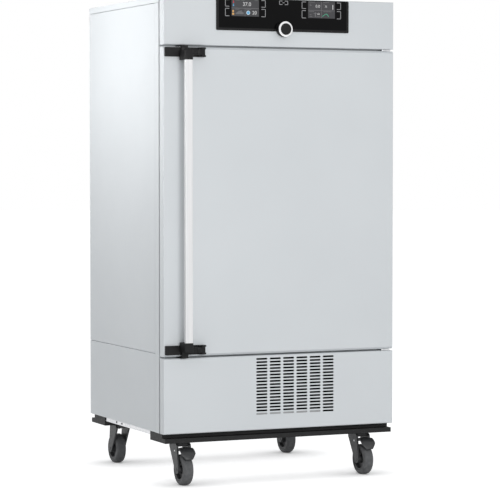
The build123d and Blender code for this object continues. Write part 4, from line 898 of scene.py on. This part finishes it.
def wire_shelf(node):
    """A welded shelf of round stainless wire on an edge rod."""
    low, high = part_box(node)
    rod, wire = 0.003, 0.00175
    rod_z = low[2] + rod
    shape = bmesh.new()
    edge_low = (low[0] + rod, low[1] + rod)
    edge_high = (high[0] - rod, high[1] - rod)
    add_tube(shape, rounded_loop(edge_low, edge_high, 0.017, rod_z), rod, closed=True)
    for number in range(-9, 10):
        x = 0.031 * number
        add_rod(shape, (x, low[1] + 0.0012, high[2] - wire), (x, high[1] - 0.0012, high[2] - wire), wire)
    for number in (-1, 0, 1):
        y = (low[1] + high[1]) / 2 + 0.110 * number
        z = low[2] + 2 * rod - wire
        add_rod(shape, (edge_low[0], y, z), (edge_high[0], y, z), wire)
    made = finish_piece(shape, node + "_wires", node, "stainless", wire_steel)
    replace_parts(made, node)


wire_shelf("upper_shelf")
wire_shelf("lower_shelf")
soften("door_gasket", 0.0026, "gasket_rubber", steps=4)

baffle_front = 0.2425
probe = bmesh.new()
add_turned(
    probe,
    ((0, 0), (0.007, 0), (0.007, 0.004), (0.0035, 0.007), (0.0022, 0.008), (0.0022, 0.117), (0, 0.120)),
    (0.09, baffle_front, 1.200), (0, -1, 0), 24, rounds=((5, 0.0012),),
)
finish_piece(probe, "temperature_probe", "cabinet", "stainless", wire_steel)
baffle_screws = bmesh.new()
for x in (-0.298, 0.298):
    for z in (0.545, 0.9165, 1.288):
        add_screw(baffle_screws, (x, baffle_front, z), (0, -1, 0), 0.004)
finish_piece(baffle_screws, "baffle_screws", "cabinet", "stainless", wire_steel)

# Machine bay: return bends of the condenser, and the compressor's seam and terminal cover
coil_middle_y = -0.2145
row_heights = (0.200, 0.238, 0.276, 0.314, 0.352)
bends = bmesh.new()
for low_row, side, x in ((0, -1, -0.1137), (1, 1, 0.2183), (2, -1, -0.1137), (3, 1, 0.2183)):
    low, high = row_heights[low_row], row_heights[low_row + 1]
    reach = (high - low) / 2
    points = [(x - side * 0.004, coil_middle_y, low)]
    for step in range(13):
        turn = math.pi * step / 12 - math.pi / 2
        out, up = reach * math.cos(turn), reach * math.sin(turn)
        points.append((x + side * out, coil_middle_y, (low + high) / 2 + up))
    points.append((x - side * 0.004, coil_middle_y, high))
    add_tube(bends, points, 0.0045)
finish_piece(bends, "return_bends", "cabinet", "copper_pipe")
soften("refrigerant_pipes", 0.0003, "copper_pipe", sharp=50.0)

shell_x, shell_y, shell_seam = -0.190, 0.0085, 0.270
shell_parts = bmesh.new()
add_turned(
    shell_parts,
    ((0.0772, -0.003), (0.0795, -0.0022), (0.0803, 0), (0.0795, 0.0022), (0.0772, 0.003), (0.0772, -0.003)),
    (shell_x, shell_y, shell_seam), (0, 0, 1), 72,
)
finish_piece(shell_parts, "compressor_seam", "cabinet", "compressor_black")
terminal_cover = bmesh.new()
for half_width, half_height, reach, edge in ((0.030, 0.025, 0.102, 0.004), (0.0045, 0.029, 0.1035, 0.001)):
    low = (shell_x - half_width, shell_y - reach, 0.261 - half_height)
    high = (shell_x + half_width, shell_y - 0.066, 0.261 + half_height)
    add_block(terminal_cover, low, high, edge, 3)
finish_piece(terminal_cover, "terminal_cover", "cabinet", "black_plastic")

# Rear: the panel's screws, and the mains module with moulded edges
rear_face = 0.3595
rear_screws = bmesh.new()
for z in (0.190, 0.412, 0.634, 0.856, 1.078, 1.300, 1.540):
    for x in (-0.387, 0.387):
        add_screw(rear_screws, (x, rear_face, z), (0, 1, 0), 0.0045)
for x in (-0.2, 0.0, 0.2):
    for z in (0.181, 1.545):
        add_screw(rear_screws, (x, rear_face, z), (0, 1, 0), 0.0045)
finish_piece(rear_screws, "rear_screws", "cabinet", "zinc_steel")
soften("power_inlet", 0.0004, "black_plastic")
soften("mains_switch", 0.0004, "black_plastic")
